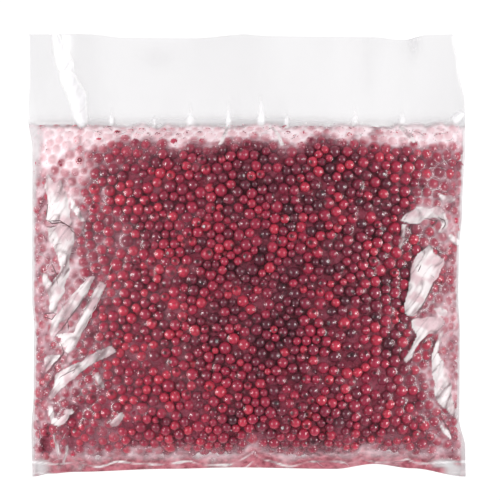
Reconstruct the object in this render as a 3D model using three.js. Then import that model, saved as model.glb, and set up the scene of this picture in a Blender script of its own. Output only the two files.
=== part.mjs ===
// A clear film bag of frozen berries, lying on its back.
// The lower part is a low pillow full of berries, whose round tops press up through the film.
// The upper part is an empty header: two flat layers of film that droop to the table.
// Millimetres. +X runs across the bag, +Y from the bottom weld to the header, +Z up.
import * as THREE from "three";

// Driving dimensions
const BAG_WIDTH = 308; // widest place, corner to corner
const BAG_LENGTH = 311.5; // bottom corners to the header's free edge
const FILL_HEIGHT = 35; // table to the highest film over the berries
const FOLD_HEIGHT = 10; // side folds above the table
const FILM_PAIR = 1.0; // two layers of film with the air between them
const FIN_LENGTH = 9; // flat strip outside the bottom weld's bend
const HEADER_LENGTH = 63; // empty film past the berries
const BERRY_PITCH = 8.6; // spacing of the berries that press into the film
const BERRY_RELIEF = 3.4; // from a berry's top to the dip between three berries
const UNEVEN_RELIEF = 0.6; // how far one berry's top lies above or below its neighbours
const UNEVEN_SPACING = 0.18; // how far a berry's top or a dip strays, as a share of the spacing
const DIP_FULL_AT = 0.4; // share of the full height at which the dips reach their full depth

// Outline: [distance along the edge, how far the edge pulls in there]
const LEFT_PULL = [
  [0, 2.8], [30, 2.8], [60, 4.5], [105, 4.9], [125, 3.5], [230, 3.6], [250, 0.4], [BAG_LENGTH, 0],
];
const RIGHT_PULL = [
  [0, 0], [20, 0.7], [41, 5.2], [105, 4.9], [125, 6], [157, 5.6],
  [188, 3.2], [245, 0.7], [262, 1], [290, 5.6], [BAG_LENGTH, 9.1],
];
const TOP_PULL = [
  [0, 0], [44, 0], [70, 2.4], [120, 2.8], [157, 0], [175, 1.2], [250, 2], [272, 4.2], [290, 0.4], [BAG_WIDTH, 0],
];
const BOTTOM_PULL = [
  [0, 0], [13, 2.1], [31, 3.5], [96, 5.6], [145, 6.6], [215, 5.6], [243, 9.1], [270, 6], [BAG_WIDTH, 0],
];

// Cross-section of the filled pillow: (1 - |q|^power)^root, where q runs from -1 to 1
const ACROSS = { power: 4, root: 0.6 };
const ALONG = { power: 8, root: 0.6 };
const BELLY_SHARE = 0.45; // share of the full height at which the underside lifts off the table
const BELLY_POWER = 1.6;

// Height of the film's mid-plane at the outline: [distance from the bottom corners, height]
const SEAM_LINE = [
  [0, 3.6], [20, 7], [45, FOLD_HEIGHT], [225, FOLD_HEIGHT], [252, 5.5], [274, 2.2], [BAG_LENGTH, 1.6],
];
const CORNER_DROP = { height: 2.4, reach: 34 }; // bottom corners lie lower than the middle of the weld

// Gentle waves that run down the header: place across, half width, height at the free edge
const HEADER_WAVES = [
  { across: 34, halfWidth: 9, height: 3.2 },
  { across: 96, halfWidth: 26, height: 1.4 },
  { across: 232, halfWidth: 12, height: 1.8 },
  { across: 271, halfWidth: 10, height: 3.4 },
];

// Shallow rises and hollows of the berries under the film: waves across, waves along, phase, height
const HEAPS = [
  { across: 1.5, along: 0.8, phase: 0.6, height: 0.9 },
  { across: 2.6, along: 2.2, phase: 2.1, height: 0.7 },
  { across: 0.7, along: 3.1, phase: 4.0, height: 0.6 },
];

// Mesh density away from the berries
const HEADER_COLUMNS = 26;
const HEADER_ROWS = 8;
const BACK_COLUMNS = 14;
const STEADY_LINES = 4; // lines next to each end of the filling where points stray less
const ARC_SAMPLES = 2000;

// Repeatable random numbers: each is the last one times the factor, plus the step, in 32 bits
const SEED = 20418;
const RANDOM_FACTOR = 1664525;
const RANDOM_STEP = 1013904223;
const RANDOM_RANGE = 2 ** 32;

const FILL_START = FIN_LENGTH / BAG_LENGTH;
const FILL_END = 1 - HEADER_LENGTH / BAG_LENGTH;
const FILM_COLOUR = 0x8c1f33;

// Random numbers from -0.5 to 0.5
function makeRandom(seed) {
  let state = seed >>> 0;
  return () => {
    state = (Math.imul(state, RANDOM_FACTOR) + RANDOM_STEP) >>> 0;
    return state / RANDOM_RANGE - 0.5;
  };
}

const clamp = (value, low, high) => Math.min(high, Math.max(low, value));
const smoothStep = (share) => share * share * (3 - 2 * share);

// Smooth curve through [place, value] points, level at each point, so that it never overshoots
function through(points, place) {
  const last = points.length - 1;
  if (place <= points[0][0]) return points[0][1];
  if (place >= points[last][0]) return points[last][1];
  const next = points.findIndex(([at]) => at > place);
  const [start, from] = points[next - 1];
  const [end, to] = points[next];
  return from + (to - from) * smoothStep((place - start) / (end - start));
}

// Rounded box profile: 1 in the middle, 0 at q = -1 and q = 1
function dome(q, { power, root }) {
  return Math.pow(Math.max(0, 1 - Math.pow(Math.abs(q), power)), root);
}

// Places from -1 to 1 that are evenly spaced along the curved profile
function evenPlaces(profile, halfSpan, height, pitch) {
  const lengths = [0];
  for (let i = 1; i <= ARC_SAMPLES; i++) {
    const q0 = -1 + (2 * (i - 1)) / ARC_SAMPLES;
    const q1 = -1 + (2 * i) / ARC_SAMPLES;
    const rise = height * (dome(q1, profile) - dome(q0, profile));
    lengths.push(lengths[i - 1] + Math.hypot(halfSpan * (q1 - q0), rise));
  }
  const total = lengths[ARC_SAMPLES];
  const count = Math.round(total / pitch);
  return (step) => {
    const wanted = clamp(step / count, 0, 1) * total;
    const reached = lengths.findIndex((length) => length >= wanted);
    const next = clamp(reached, 1, ARC_SAMPLES);
    const share = (wanted - lengths[next - 1]) / (lengths[next] - lengths[next - 1]);
    return { place: -1 + (2 * (next - 1 + share)) / ARC_SAMPLES, count };
  };
}

// Plan position of a point of the bag: u across from the left, v along from the bottom edge to the free edge
function planAt(u, v) {
  const along = v * BAG_LENGTH;
  const across = u * BAG_WIDTH;
  const left = -BAG_WIDTH / 2 + through(LEFT_PULL, along);
  const right = BAG_WIDTH / 2 - through(RIGHT_PULL, along);
  const bottom = -BAG_LENGTH / 2 + through(BOTTOM_PULL, across);
  const top = BAG_LENGTH / 2 - through(TOP_PULL, across);
  return { x: left + (right - left) * u, y: bottom + (top - bottom) * v };
}

// How full the bag is at a point, from 0 at the outline to 1 over the middle
function fillAt(u, v) {
  const w = clamp((2 * (v - FILL_START)) / (FILL_END - FILL_START) - 1, -1, 1);
  return dome(2 * u - 1, ACROSS) * dome(w, ALONG);
}

// Height of the mid-plane between the two layers of film
function seamAt(u, v) {
  const along = v * BAG_LENGTH;
  const across = u * BAG_WIDTH;
  const toCorner = Math.min(across, BAG_WIDTH - across) / CORNER_DROP.reach;
  const low = 1 - smoothStep(clamp(along / CORNER_DROP.reach, 0, 1));
  const drop = CORNER_DROP.height * low * (1 - smoothStep(clamp(toCorner, 0, 1)));
  const free = smoothStep(clamp((v - FILL_END) / (1 - FILL_END), 0, 1));
  let wave = 0;
  for (const { across: centre, halfWidth, height } of HEADER_WAVES) {
    wave += height * Math.exp(-(((across - centre) / halfWidth) ** 2));
  }
  return through(SEAM_LINE, along) - drop + free * wave;
}

// Uneven level of the heaped berries
function heapAt(u, v) {
  let rise = 0;
  for (const { across, along, phase, height } of HEAPS) {
    rise += height * Math.sin(2 * Math.PI * (across * u + along * v) + phase);
  }
  return rise;
}

function topAt(u, v, dip = 0) {
  const fill = fillAt(u, v);
  const seam = seamAt(u, v);
  const swell = (FILL_HEIGHT - FOLD_HEIGHT - FILM_PAIR / 2) * fill;
  const { x, y } = planAt(u, v);
  const depth = dip * smoothStep(clamp(fill / DIP_FULL_AT, 0, 1));
  return new THREE.Vector3(x, y, seam + FILM_PAIR / 2 + swell + heapAt(u, v) * fill - depth);
}

function backAt(u, v) {
  const lift = Math.pow(1 - clamp(fillAt(u, v) / BELLY_SHARE, 0, 1), BELLY_POWER);
  const { x, y } = planAt(u, v);
  return new THREE.Vector3(x, y, (seamAt(u, v) - FILM_PAIR / 2) * lift);
}

// Triangles of a closed skin, kept as corner points
class Skin {
  constructor() {
    this.corners = [];
  }

  // One triangle; the two layers face opposite ways
  face(a, b, c, up) {
    const [p, q, r] = up ? [a, b, c] : [a, c, b];
    this.corners.push(p.x, p.y, p.z, q.x, q.y, q.z, r.x, r.y, r.z);
  }

  // Strip between two rows of points, each point holding its place u across the bag
  strip(lower, upper, up) {
    let i = 0;
    let j = 0;
    while (i < lower.length - 1 || j < upper.length - 1) {
      const stepLower = j === upper.length - 1 || (i < lower.length - 1 && lower[i + 1].u <= upper[j + 1].u);
      if (stepLower) {
        this.face(lower[i].point, lower[i + 1].point, upper[j].point, up);
        i++;
      } else {
        this.face(lower[i].point, upper[j + 1].point, upper[j].point, up);
        j++;
      }
    }
  }

  // Thin wall between an edge of the upper layer and the same edge of the lower one
  wall(above, below) {
    for (let i = 0; i < above.length - 1; i++) {
      this.face(below[i], below[i + 1], above[i + 1], true);
      this.face(below[i], above[i + 1], above[i], true);
    }
  }

  geometry() {
    const made = new THREE.BufferGeometry();
    made.setAttribute("position", new THREE.Float32BufferAttribute(this.corners, 3));
    made.computeVertexNormals();
    return made;
  }
}

// Lattice of berries: each row of cells is one berry high, and every second row is moved half a berry
const halfSpan = BAG_WIDTH / 2;
const fillSpan = (BAG_LENGTH - HEADER_LENGTH - FIN_LENGTH) / 2;
const rise = FILL_HEIGHT - FOLD_HEIGHT;
const placeAcross = evenPlaces(ACROSS, halfSpan, rise, BERRY_PITCH);
const placeAlong = evenPlaces(ALONG, fillSpan, rise, (BERRY_PITCH * Math.sqrt(3)) / 2);
const columns = placeAcross(0).count;
const rows = placeAlong(0).count;

const uOf = (column) => (placeAcross(column).place + 1) / 2;
const vOf = (row) => FILL_START + ((placeAlong(row).place + 1) / 2) * (FILL_END - FILL_START);

// How far a point may stray from its even place: not at all on the end lines, and less on the steep ends
function strayAt(line) {
  const toEnd = Math.min(line, rows - line);
  return UNEVEN_SPACING * clamp(toEnd / STEADY_LINES, 0, 1);
}

// Dips between berries: on each line between two rows of cells, in half steps across.
// In a honeycomb the corners of the cells lie a sixth of a row above and below the line in turn.
function dipLine(line, random) {
  const made = [];
  for (let half = 0; half <= 2 * columns; half++) {
    const inside = half > 0 && half < 2 * columns && line > 0 && line < rows;
    const zigzag = (half + line) % 2 === 0 ? 1 / 6 : -1 / 6;
    const row = line + (inside ? zigzag + random() * strayAt(line) : 0);
    const column = half / 2 + (inside ? random() * strayAt(line) : 0);
    const dip = inside ? BERRY_RELIEF : 0;
    made.push({ u: uOf(column), v: vOf(row), point: topAt(uOf(column), vOf(row), dip) });
  }
  return made;
}

// One row of berries: each cell is a fan of triangles from the berry's top to the dips round it
function berryRow(skin, row, lower, upper, random) {
  const shift = row % 2 === 0 ? 0 : 1;
  const cells = row % 2 === 0 ? columns : columns + 1;
  for (let cell = 0; cell < cells; cell++) {
    const first = clamp(2 * cell - shift, 0, 2 * columns);
    const last = clamp(2 * cell + 2 - shift, 0, 2 * columns);
    const around = [...lower.slice(first, last + 1), ...upper.slice(first, last + 1).reverse()];
    const column = (first + last) / 4 + random() * strayAt(row + 0.5);
    const middle = row + 0.5 + random() * strayAt(row + 0.5);
    const top = topAt(uOf(column), vOf(middle), 2 * random() * UNEVEN_RELIEF);
    for (let i = 0; i < around.length; i++) {
      skin.face(top, around[i].point, around[(i + 1) % around.length].point, true);
    }
  }
}

// A plain row of points across one layer
function plainRow(v, count, at) {
  const made = [];
  for (let i = 0; i <= count; i++) made.push({ u: i / count, v, point: at(i / count, v) });
  return made;
}

function berryBag() {
  const random = makeRandom(SEED);
  const skin = new Skin();

  const lines = [];
  for (let line = 0; line <= rows; line++) lines.push(dipLine(line, random));

  // Upper layer: bottom fin, berries, header
  const topRows = [plainRow(0, HEADER_COLUMNS, topAt), ...lines];
  for (let i = 1; i <= HEADER_ROWS; i++) {
    topRows.push(plainRow(FILL_END + ((1 - FILL_END) * i) / HEADER_ROWS, HEADER_COLUMNS, topAt));
  }
  skin.strip(topRows[0], topRows[1], true);
  for (let row = 0; row < rows; row++) berryRow(skin, row, lines[row], lines[row + 1], random);
  for (let i = rows + 1; i < topRows.length - 1; i++) skin.strip(topRows[i], topRows[i + 1], true);

  // Lower layer: the same rows, plain, with the header split into the same triangles
  const backRows = topRows.map((row, i) => {
    const inHeader = i === 0 || i > rows + 1;
    return plainRow(row[0].v, inHeader ? HEADER_COLUMNS : BACK_COLUMNS, backAt);
  });
  for (let i = 0; i < backRows.length - 1; i++) skin.strip(backRows[i], backRows[i + 1], false);

  // Narrow rim all round, where the film is folded or welded
  const pointsOf = (row) => row.map(({ point }) => point);
  const lastRow = topRows.length - 1;
  skin.wall(pointsOf(topRows[0]), pointsOf(backRows[0]));
  skin.wall(pointsOf(topRows[lastRow]).reverse(), pointsOf(backRows[lastRow]).reverse());
  const leftTop = topRows.map((row) => row[0].point);
  const leftBack = backRows.map((row) => row[0].point);
  const rightTop = topRows.map((row) => row[row.length - 1].point);
  const rightBack = backRows.map((row) => row[row.length - 1].point);
  skin.wall(leftTop.reverse(), leftBack.reverse());
  skin.wall(rightTop, rightBack);
  return skin.geometry();
}

const film = new THREE.MeshStandardMaterial({ color: FILM_COLOUR, roughness: 0.3, metalness: 0 });
const bag = new THREE.Mesh(berryBag(), film);
bag.name = "berry_bag";

const part = new THREE.Group();
part.add(bag);

export default part;
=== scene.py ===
# %% [markdown]
# # A clear bag of frozen berries
# The real thing is a bag of soft clear film, about 300 mm square. Berries fill the lower four
# fifths as a low pillow. Above them is an empty header, two flat layers of film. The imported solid
# gives the outline, the height and the place of everything, so this lesson starts by loading it,
# and each later cell dresses it.

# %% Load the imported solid
import math

import bpy
import numpy as np
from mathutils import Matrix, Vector


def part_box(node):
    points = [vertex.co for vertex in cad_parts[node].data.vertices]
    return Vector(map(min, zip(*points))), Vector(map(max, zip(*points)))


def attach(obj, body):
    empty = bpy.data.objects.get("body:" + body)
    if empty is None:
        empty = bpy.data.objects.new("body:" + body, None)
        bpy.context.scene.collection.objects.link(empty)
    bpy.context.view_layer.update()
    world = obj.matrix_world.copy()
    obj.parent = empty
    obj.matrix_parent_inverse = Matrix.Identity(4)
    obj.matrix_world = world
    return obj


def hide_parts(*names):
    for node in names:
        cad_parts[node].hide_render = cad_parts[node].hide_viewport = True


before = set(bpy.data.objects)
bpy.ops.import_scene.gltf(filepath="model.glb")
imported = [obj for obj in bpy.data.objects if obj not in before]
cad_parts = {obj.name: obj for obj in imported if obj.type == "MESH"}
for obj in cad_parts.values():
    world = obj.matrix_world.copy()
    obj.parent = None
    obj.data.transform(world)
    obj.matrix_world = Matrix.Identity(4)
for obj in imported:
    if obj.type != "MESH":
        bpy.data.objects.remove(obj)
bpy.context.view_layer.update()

BAG = "berry_bag"
low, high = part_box(BAG)

# Shapes are worked out in millimetres, and turned into metres when a mesh is made
MM = 0.001
BAG_WIDTH = (high.x - low.x) / MM
BAG_LENGTH = (high.y - low.y) / MM
print(f"bag {BAG_WIDTH:.1f} x {BAG_LENGTH:.1f} mm, {high.z / MM:.1f} mm high")

# %% [markdown]
# ## The form of the bag
# A filled film bag is a pillow: flat on the table, blunt at its side folds, and nearly level on
# top. It could be a simulated cloth, but then its outline would be chance. Here two numbers, u
# across and v along, name each place on the bag, and short formulas give that place its outline,
# its height and how full the bag is there. The film, the berries and the frost all read the same
# formulas, so they always fit each other.

# %% The outline
FIN_LENGTH = 9.0  # flat strip at the bottom weld
HEADER_LENGTH = 63.0  # empty film past the berries
FILL_START = FIN_LENGTH / BAG_LENGTH
FILL_END = 1 - HEADER_LENGTH / BAG_LENGTH

# How far each edge pulls in: (distance along the edge, pull)
LEFT_PULL = (
    (0, 2.8), (30, 2.8), (60, 4.5), (105, 4.9), (125, 3.5), (230, 3.6), (250, 0.4), (BAG_LENGTH, 0),
)
RIGHT_PULL = (
    (0, 0), (20, 0.7), (41, 5.2), (105, 4.9), (125, 6), (157, 5.6),
    (188, 3.2), (245, 0.7), (262, 1), (290, 5.6), (BAG_LENGTH, 9.1),
)
TOP_PULL = (
    (0, 0), (44, 0), (70, 2.4), (120, 2.8), (157, 0), (175, 1.2),
    (250, 2), (272, 4.2), (290, 0.4), (BAG_WIDTH, 0),
)
BOTTOM_PULL = (
    (0, 0), (13, 2.1), (31, 3.5), (96, 5.6), (145, 6.6), (215, 5.6),
    (243, 9.1), (270, 6), (BAG_WIDTH, 0),
)


def ease(share):
    """Smooth step: 0 up to 0, 1 from 1 on, and 3s^2 - 2s^3 between."""
    share = np.clip(share, 0, 1)
    return share * share * (3 - 2 * share)


def through(points, place):
    """Smooth curve through (place, value) points, with the smooth step between neighbours."""
    at, value = np.array(points, float).T
    first = np.clip(np.searchsorted(at, place, side="right") - 1, 0, len(at) - 2)
    share = (place - at[first]) / (at[first + 1] - at[first])
    return value[first] + (value[first + 1] - value[first]) * ease(share)


# %% From shares to places, and back
def edges(u, v):
    """Left and right edge beside v, and bottom and top edge beside u: half the size, less the pull."""
    left = -BAG_WIDTH / 2 + through(LEFT_PULL, v * BAG_LENGTH)
    right = BAG_WIDTH / 2 - through(RIGHT_PULL, v * BAG_LENGTH)
    bottom = -BAG_LENGTH / 2 + through(BOTTOM_PULL, u * BAG_WIDTH)
    top = BAG_LENGTH / 2 - through(TOP_PULL, u * BAG_WIDTH)
    return left, right, bottom, top


def plan(u, v):
    """Where a place lies on the table: u shares out the width, and v the length."""
    left, right, bottom, top = edges(u, v)
    return left + (right - left) * u, bottom + (top - bottom) * v


def places(x, y, rounds=5):
    """The opposite of plan: u and v of a point, found by working out each from the other a few times."""
    u, v = np.full_like(x, 0.5), np.full_like(y, 0.5)
    for _ in range(rounds):
        left, right, bottom, top = edges(u, v)
        u = np.clip((x - left) / (right - left), 0, 1)
        v = np.clip((y - bottom) / (top - bottom), 0, 1)
    return u, v


# %% The heights
FILL_HEIGHT = 35.0  # table to the film over the berries
FOLD_HEIGHT = 10.0  # side folds above the table
FILM_PAIR = 1.0  # two layers of film with the air between them
ACROSS_POWER, ALONG_POWER, DOME_ROOT = 4, 8, 0.6
BELLY_SHARE, BELLY_POWER = 0.45, 1.6
SEAM_LINE = (
    (0, 3.6), (20, 7), (45, FOLD_HEIGHT), (225, FOLD_HEIGHT), (252, 5.5), (274, 2.2),
    (BAG_LENGTH, 1.6),
)
CORNER_DROP, CORNER_REACH = 2.4, 34.0  # how far the lower corners sink, and over what length
# Waves of the empty header. Each: centre across, half width and height
HEADER_WAVES = ((34, 9, 3.2), (96, 26, 1.4), (232, 12, 1.8), (271, 12, 2.2))
# Shallow waves of the heap. Each: waves across, waves along, phase and height
HEAPS = ((1.5, 0.8, 0.6, 0.9), (2.6, 2.2, 2.1, 0.7), (0.7, 3.1, 4.0, 0.6))


# %% Fullness and the two films
def dome(q, power):
    """Rounded box profile (1 - |q|^power)^root: 1 in the middle, 0 at q = -1 and q = 1."""
    return np.clip(1 - np.abs(q) ** power, 0, 1) ** DOME_ROOT


def fullness(u, v):
    """How full the bag is: a rounded profile across times one along, 0 at the outline and 1 inside."""
    w = np.clip(2 * (v - FILL_START) / (FILL_END - FILL_START) - 1, -1, 1)
    return dome(2 * u - 1, ACROSS_POWER) * dome(w, ALONG_POWER)


def mid_plane(u, v):
    """Height between the two layers of film: a curve along, less the corner drop, plus header waves."""
    across, along = u * BAG_WIDTH, v * BAG_LENGTH
    to_corner = np.minimum(across, BAG_WIDTH - across) / CORNER_REACH
    drop = CORNER_DROP * (1 - ease(along / CORNER_REACH)) * (1 - ease(to_corner))
    free = ease((v - FILL_END) / (1 - FILL_END))
    wave = sum(
        height * np.exp(-(((across - centre) / half) ** 2)) for centre, half, height in HEADER_WAVES
    )
    return through(SEAM_LINE, along) - drop + free * wave


def top_film(u, v):
    """Upper film before it drapes: mid-plane, plus the filling's swell and the heap's shallow waves."""
    fill = fullness(u, v)
    heap = sum(height * np.sin(2 * np.pi * (a * u + b * v) + phase) for a, b, phase, height in HEAPS)
    return mid_plane(u, v) + FILM_PAIR / 2 + (FILL_HEIGHT - FOLD_HEIGHT - FILM_PAIR / 2 + heap) * fill


def back_film(u, v):
    """Lower film: flat on the table, and lifting to the mid-plane where the bag is nearly empty."""
    lift = (1 - np.clip(fullness(u, v) / BELLY_SHARE, 0, 1)) ** BELLY_POWER
    return (mid_plane(u, v) - FILM_PAIR / 2) * lift


# %% [markdown]
# ## Shader maths as plain maths
# A material is a graph of nodes. Wiring each Math node by hand hides what the graph works out, so
# one small class stands for a socket and takes part in Python expressions. Writing `0.2 + 0.5 *
# speckle` then makes the two Math nodes, and the recipe can be read as a formula.

# %% Sockets that add and multiply
class Wire:
    """One output socket. Each operator makes the Math node that does the same to the socket's value."""

    def __init__(self, finish, socket):
        self.finish, self.socket = finish, socket

    def __add__(self, other):
        return self.finish.maths("ADD", self, other)

    def __sub__(self, other):
        return self.finish.maths("SUBTRACT", self, other)

    def __rsub__(self, other):
        return self.finish.maths("SUBTRACT", other, self)

    def __mul__(self, other):
        return self.finish.maths("MULTIPLY", self, other)

    __radd__, __rmul__ = __add__, __mul__


class Finish:
    """A material, and the one method that makes any of its nodes."""

    def __init__(self, name):
        self.material = bpy.data.materials.new(name)
        self.material.use_nodes = True
        self.tree = self.material.node_tree
        self.tree.nodes.clear()

    def node(self, kind, settings=(), sockets=(), out=0):
        """A node of this kind: its settings first, then a value, a colour or a link for each socket."""
        made = self.tree.nodes.new("ShaderNode" + kind)
        for name, value in dict(settings).items():
            if name == "stops":
                self.set_stops(made.color_ramp, value)
            else:
                setattr(made, name, value)
        for name, value in dict(sockets).items():
            if isinstance(value, Wire):
                self.tree.links.new(value.socket, made.inputs[name])
            elif made.inputs[name].type == "RGBA":
                made.inputs[name].default_value = (*value, 1)
            else:
                made.inputs[name].default_value = value
        return Wire(self, made.outputs[out])

    def set_stops(self, ramp, stops):
        """Stops of a colour ramp, as (place, colour) pairs."""
        while len(ramp.elements) < len(stops):
            ramp.elements.new(0.5)
        for element, (place, colour) in zip(ramp.elements, stops):
            element.position = place
            element.color = (*colour, 1)

    def maths(self, operation, a, b):
        """One Math node on two values."""
        return self.node("Math", {"operation": operation}, {0: a, 1: b})

    def clamp(self, value, start=0.0, end=1.0):
        """0 where the value is at start or below, 1 at end or above, and a smooth step between."""
        settings = {"interpolation_type": "SMOOTHSTEP"}
        return self.node("MapRange", settings, {"Value": value, "From Min": start, "From Max": end})

    def blend(self, factor, a, b):
        """Colour a where the factor is 0, and b where it is 1."""
        return self.node("Mix", {"data_type": "RGBA"}, {0: factor, 6: a, 7: b}, 2)

    def speckle(self, scale, detail=2.0, along=1.0, turn=0.0):
        """Noise from 0 to 1 in object coordinates, so many cells to the metre, stretched along one axis."""
        place = self.node("TexCoord", out="Object")
        if along != 1:
            place = self.node("Mapping", {"vector_type": "TEXTURE"}, {
                "Vector": place, "Rotation": (0, 0, turn), "Scale": (along, 1, 1),
            })
        return self.node("TexNoise", {}, {"Vector": place, "Scale": scale, "Detail": detail}, "Fac")

    def carried(self, name):
        """A value that the mesh carries for each of its points."""
        return self.node("Attribute", {"attribute_name": name}, {}, "Fac")

    def surface(self, shader):
        """The material, with this shader as its surface."""
        output = self.tree.nodes.new("ShaderNodeOutputMaterial")
        self.tree.links.new(shader.socket, output.inputs["Surface"])
        return self.material


# %% [markdown]
# ## Meshes from arrays
# Thousands of berries are too many for one object each. Their points and faces are worked out as
# whole arrays, and one helper hands the arrays to Blender. It also stores values that the mesh
# carries for its materials.

# %% Mesh helper
def make_piece(name, points, faces, material, carried=()):
    """A smooth mesh from points in millimetres and a list of face arrays, riding on the bag's body."""
    mesh = bpy.data.meshes.new(name)
    corners = np.concatenate([block.ravel() for block in faces])
    sides = np.concatenate([np.full(len(block), block.shape[1]) for block in faces])
    mesh.vertices.add(len(points))
    mesh.vertices.foreach_set("co", (points * MM).astype(np.float32).ravel())
    mesh.loops.add(len(corners))
    mesh.loops.foreach_set("vertex_index", corners.astype(np.int32))
    mesh.polygons.add(len(sides))
    mesh.polygons.foreach_set("loop_start", (np.cumsum(sides) - sides).astype(np.int32))
    mesh.polygons.foreach_set("use_smooth", np.ones(len(sides), bool))
    mesh.update(calc_edges=True)
    mesh.validate()
    for label, values in dict(carried).items():
        attribute = mesh.attributes.new(label, "FLOAT", "POINT")
        attribute.data.foreach_set("value", values.astype(np.float32))
    mesh.materials.append(material)
    piece = bpy.data.objects.new(name, mesh)
    bpy.context.scene.collection.objects.link(piece)
    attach(piece, "root")
    triangles = int((sides - 2).sum())
    print(f"{name}: {len(points)} points, {triangles} triangles")
    return piece


# %% [markdown]
# ## Soft noise
# Frost, folds and lumps are never even. Blender has noise textures, but a mesh that is worked out
# with arrays needs its noise as arrays too. Random values on a lattice, eased between its points,
# give the same kind of soft cloud.

# %% Soft noise
NOISE_CELLS = 97  # side of the lattice, which repeats beyond that


def cloud(x, y, pitch, seed):
    """Smooth noise from 0 to 1: random values on a square lattice, eased between its points."""
    values = np.random.default_rng(seed).random((NOISE_CELLS, NOISE_CELLS))
    i, j = np.floor(x / pitch).astype(int), np.floor(y / pitch).astype(int)
    s, t = ease(x / pitch - i), ease(y / pitch - j)
    i, i_next = i % NOISE_CELLS, (i + 1) % NOISE_CELLS
    j, j_next = j % NOISE_CELLS, (j + 1) % NOISE_CELLS
    near = values[j, i] + (values[j, i_next] - values[j, i]) * s
    far = values[j_next, i] + (values[j_next, i_next] - values[j_next, i]) * s
    return near + (far - near) * t


def swing(noise):
    """Noise from 0 to 1, made to run from -1 to 1."""
    return 2 * noise - 1


def varied(least, more, noise):
    """The least amount, and more of it where the noise is high."""
    return least + more * noise


# %% [markdown]
# ## Where the berries lie
# The berries are about 7 mm across, and some five thousand of them fill the bag. A physics
# simulation of that many bodies is slow, and a random scatter leaves overlaps and holes. A middle
# way is used: the centres start at random places, and then every pair that overlaps is pushed
# apart, every berry that crosses the film is pushed back inside, and all are drawn towards the
# nearest film, over and over, until they lie packed.

# %% Height maps of the inside
MAP_STEP = 2.0  # between the points of the maps
MAP_MARGIN = 8.0  # how far they reach past the bag
LAST_CELL = 1.001  # holds a point at the far edge inside the last cell
FILM_ROOM = 0.2  # film and a breath of air between it and the berries
LITRE = 1e6  # in cubic millimetres

map_x = np.arange(-BAG_WIDTH / 2 - MAP_MARGIN, BAG_WIDTH / 2 + MAP_MARGIN, MAP_STEP)
map_y = np.arange(-BAG_LENGTH / 2 - MAP_MARGIN, BAG_LENGTH / 2 + MAP_MARGIN, MAP_STEP)
grid_x, grid_y = np.meshgrid(map_x, map_y)
grid_u, grid_v = places(grid_x, grid_y)
edge_x, edge_y = plan(grid_u, grid_v)
beyond = np.hypot(grid_x - edge_x, grid_y - edge_y)
roof_map = top_film(grid_u, grid_v) - FILM_ROOM - beyond
base_map = back_film(grid_u, grid_v) + FILM_ROOM + beyond


# %% Reading the maps
def between_four(values, column, row):
    """Value at any place of a grid: its four points round the place, averaged by nearness."""
    i, j = column.astype(int), row.astype(int)
    a, b = column - i, row - j
    below = values[j, i] * (1 - a) + values[j, i + 1] * a
    above = values[j + 1, i] * (1 - a) + values[j + 1, i + 1] * a
    return below * (1 - b) + above * b



def read_map(values, x, y):
    """Value of a map at any points."""
    column = np.clip((x - map_x[0]) / MAP_STEP, 0, len(map_x) - LAST_CELL)
    row = np.clip((y - map_y[0]) / MAP_STEP, 0, len(map_y) - LAST_CELL)
    return between_four(values, column, row)


def with_slopes(values):
    """A map with its slopes along x and y."""
    along_y, along_x = np.gradient(values, MAP_STEP)
    return values, along_x, along_y


roof, base = with_slopes(roof_map), with_slopes(base_map)
room = np.clip(roof_map - base_map, 0, None)
litres = room.sum() * MAP_STEP**2 / LITRE
print(f"room for berries: {litres:.2f} litres")

# %% Berry sizes and first places
MEAN_BERRY, BERRY_SPREAD = 7.1, 1.0  # diameters
SMALLEST_BERRY, LARGEST_BERRY = 5.0, 9.6
PACKED_SHARE = 0.615  # share of the room that the berries take up
PLACES_EACH = 4  # first places drawn for each berry, because many fall outside the bag
START_ROOM = SMALLEST_BERRY / 3  # between a first place and the film

chance = np.random.default_rng(4837)
mean_volume = math.pi / 6 * (MEAN_BERRY**3 + 3 * MEAN_BERRY * BERRY_SPREAD**2)
wanted = int(PACKED_SHARE * litres * LITRE / mean_volume)
half_box = [BAG_WIDTH / 2, BAG_LENGTH / 2, FILL_HEIGHT / 2]
centres = chance.uniform(-1, 1, (PLACES_EACH * wanted, 3)) * half_box + [0, 0, FILL_HEIGHT / 2]
inside = centres[:, 2] < read_map(roof_map, centres[:, 0], centres[:, 1]) - START_ROOM
inside &= centres[:, 2] > read_map(base_map, centres[:, 0], centres[:, 1]) + START_ROOM
centres = centres[inside][:wanted]
drawn = chance.normal(MEAN_BERRY, BERRY_SPREAD, len(centres))
radii = np.clip(drawn, SMALLEST_BERRY, LARGEST_BERRY) / 2
print(f"{len(centres)} berries to pack")

# %% Packing
PACK_ROUNDS = 240
PAIRS_EVERY = 6  # rounds between two searches for neighbours
PAIR_REACH = LARGEST_BERRY + 1.5  # pairs nearer than this are watched
PUSH = 0.35  # share of an overlap that each berry of a pair gives way in one round
DRAW = 0.03  # millimetres a round towards the nearest film
QUIET_ROUNDS = 60  # last rounds, without the draw
EDGE_ROOM = 0.5  # between a berry and the outline
TINY = 1e-9  # keeps a distance from being nought

# Half of the 26 neighbours of a cell, and the cell itself, so that each pair is found once
SIDES = (-1, 0, 1)
CELL_STEPS = [(i, j, k) for i in SIDES for j in SIDES for k in SIDES if (i, j, k) >= (0, 0, 0)]


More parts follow.
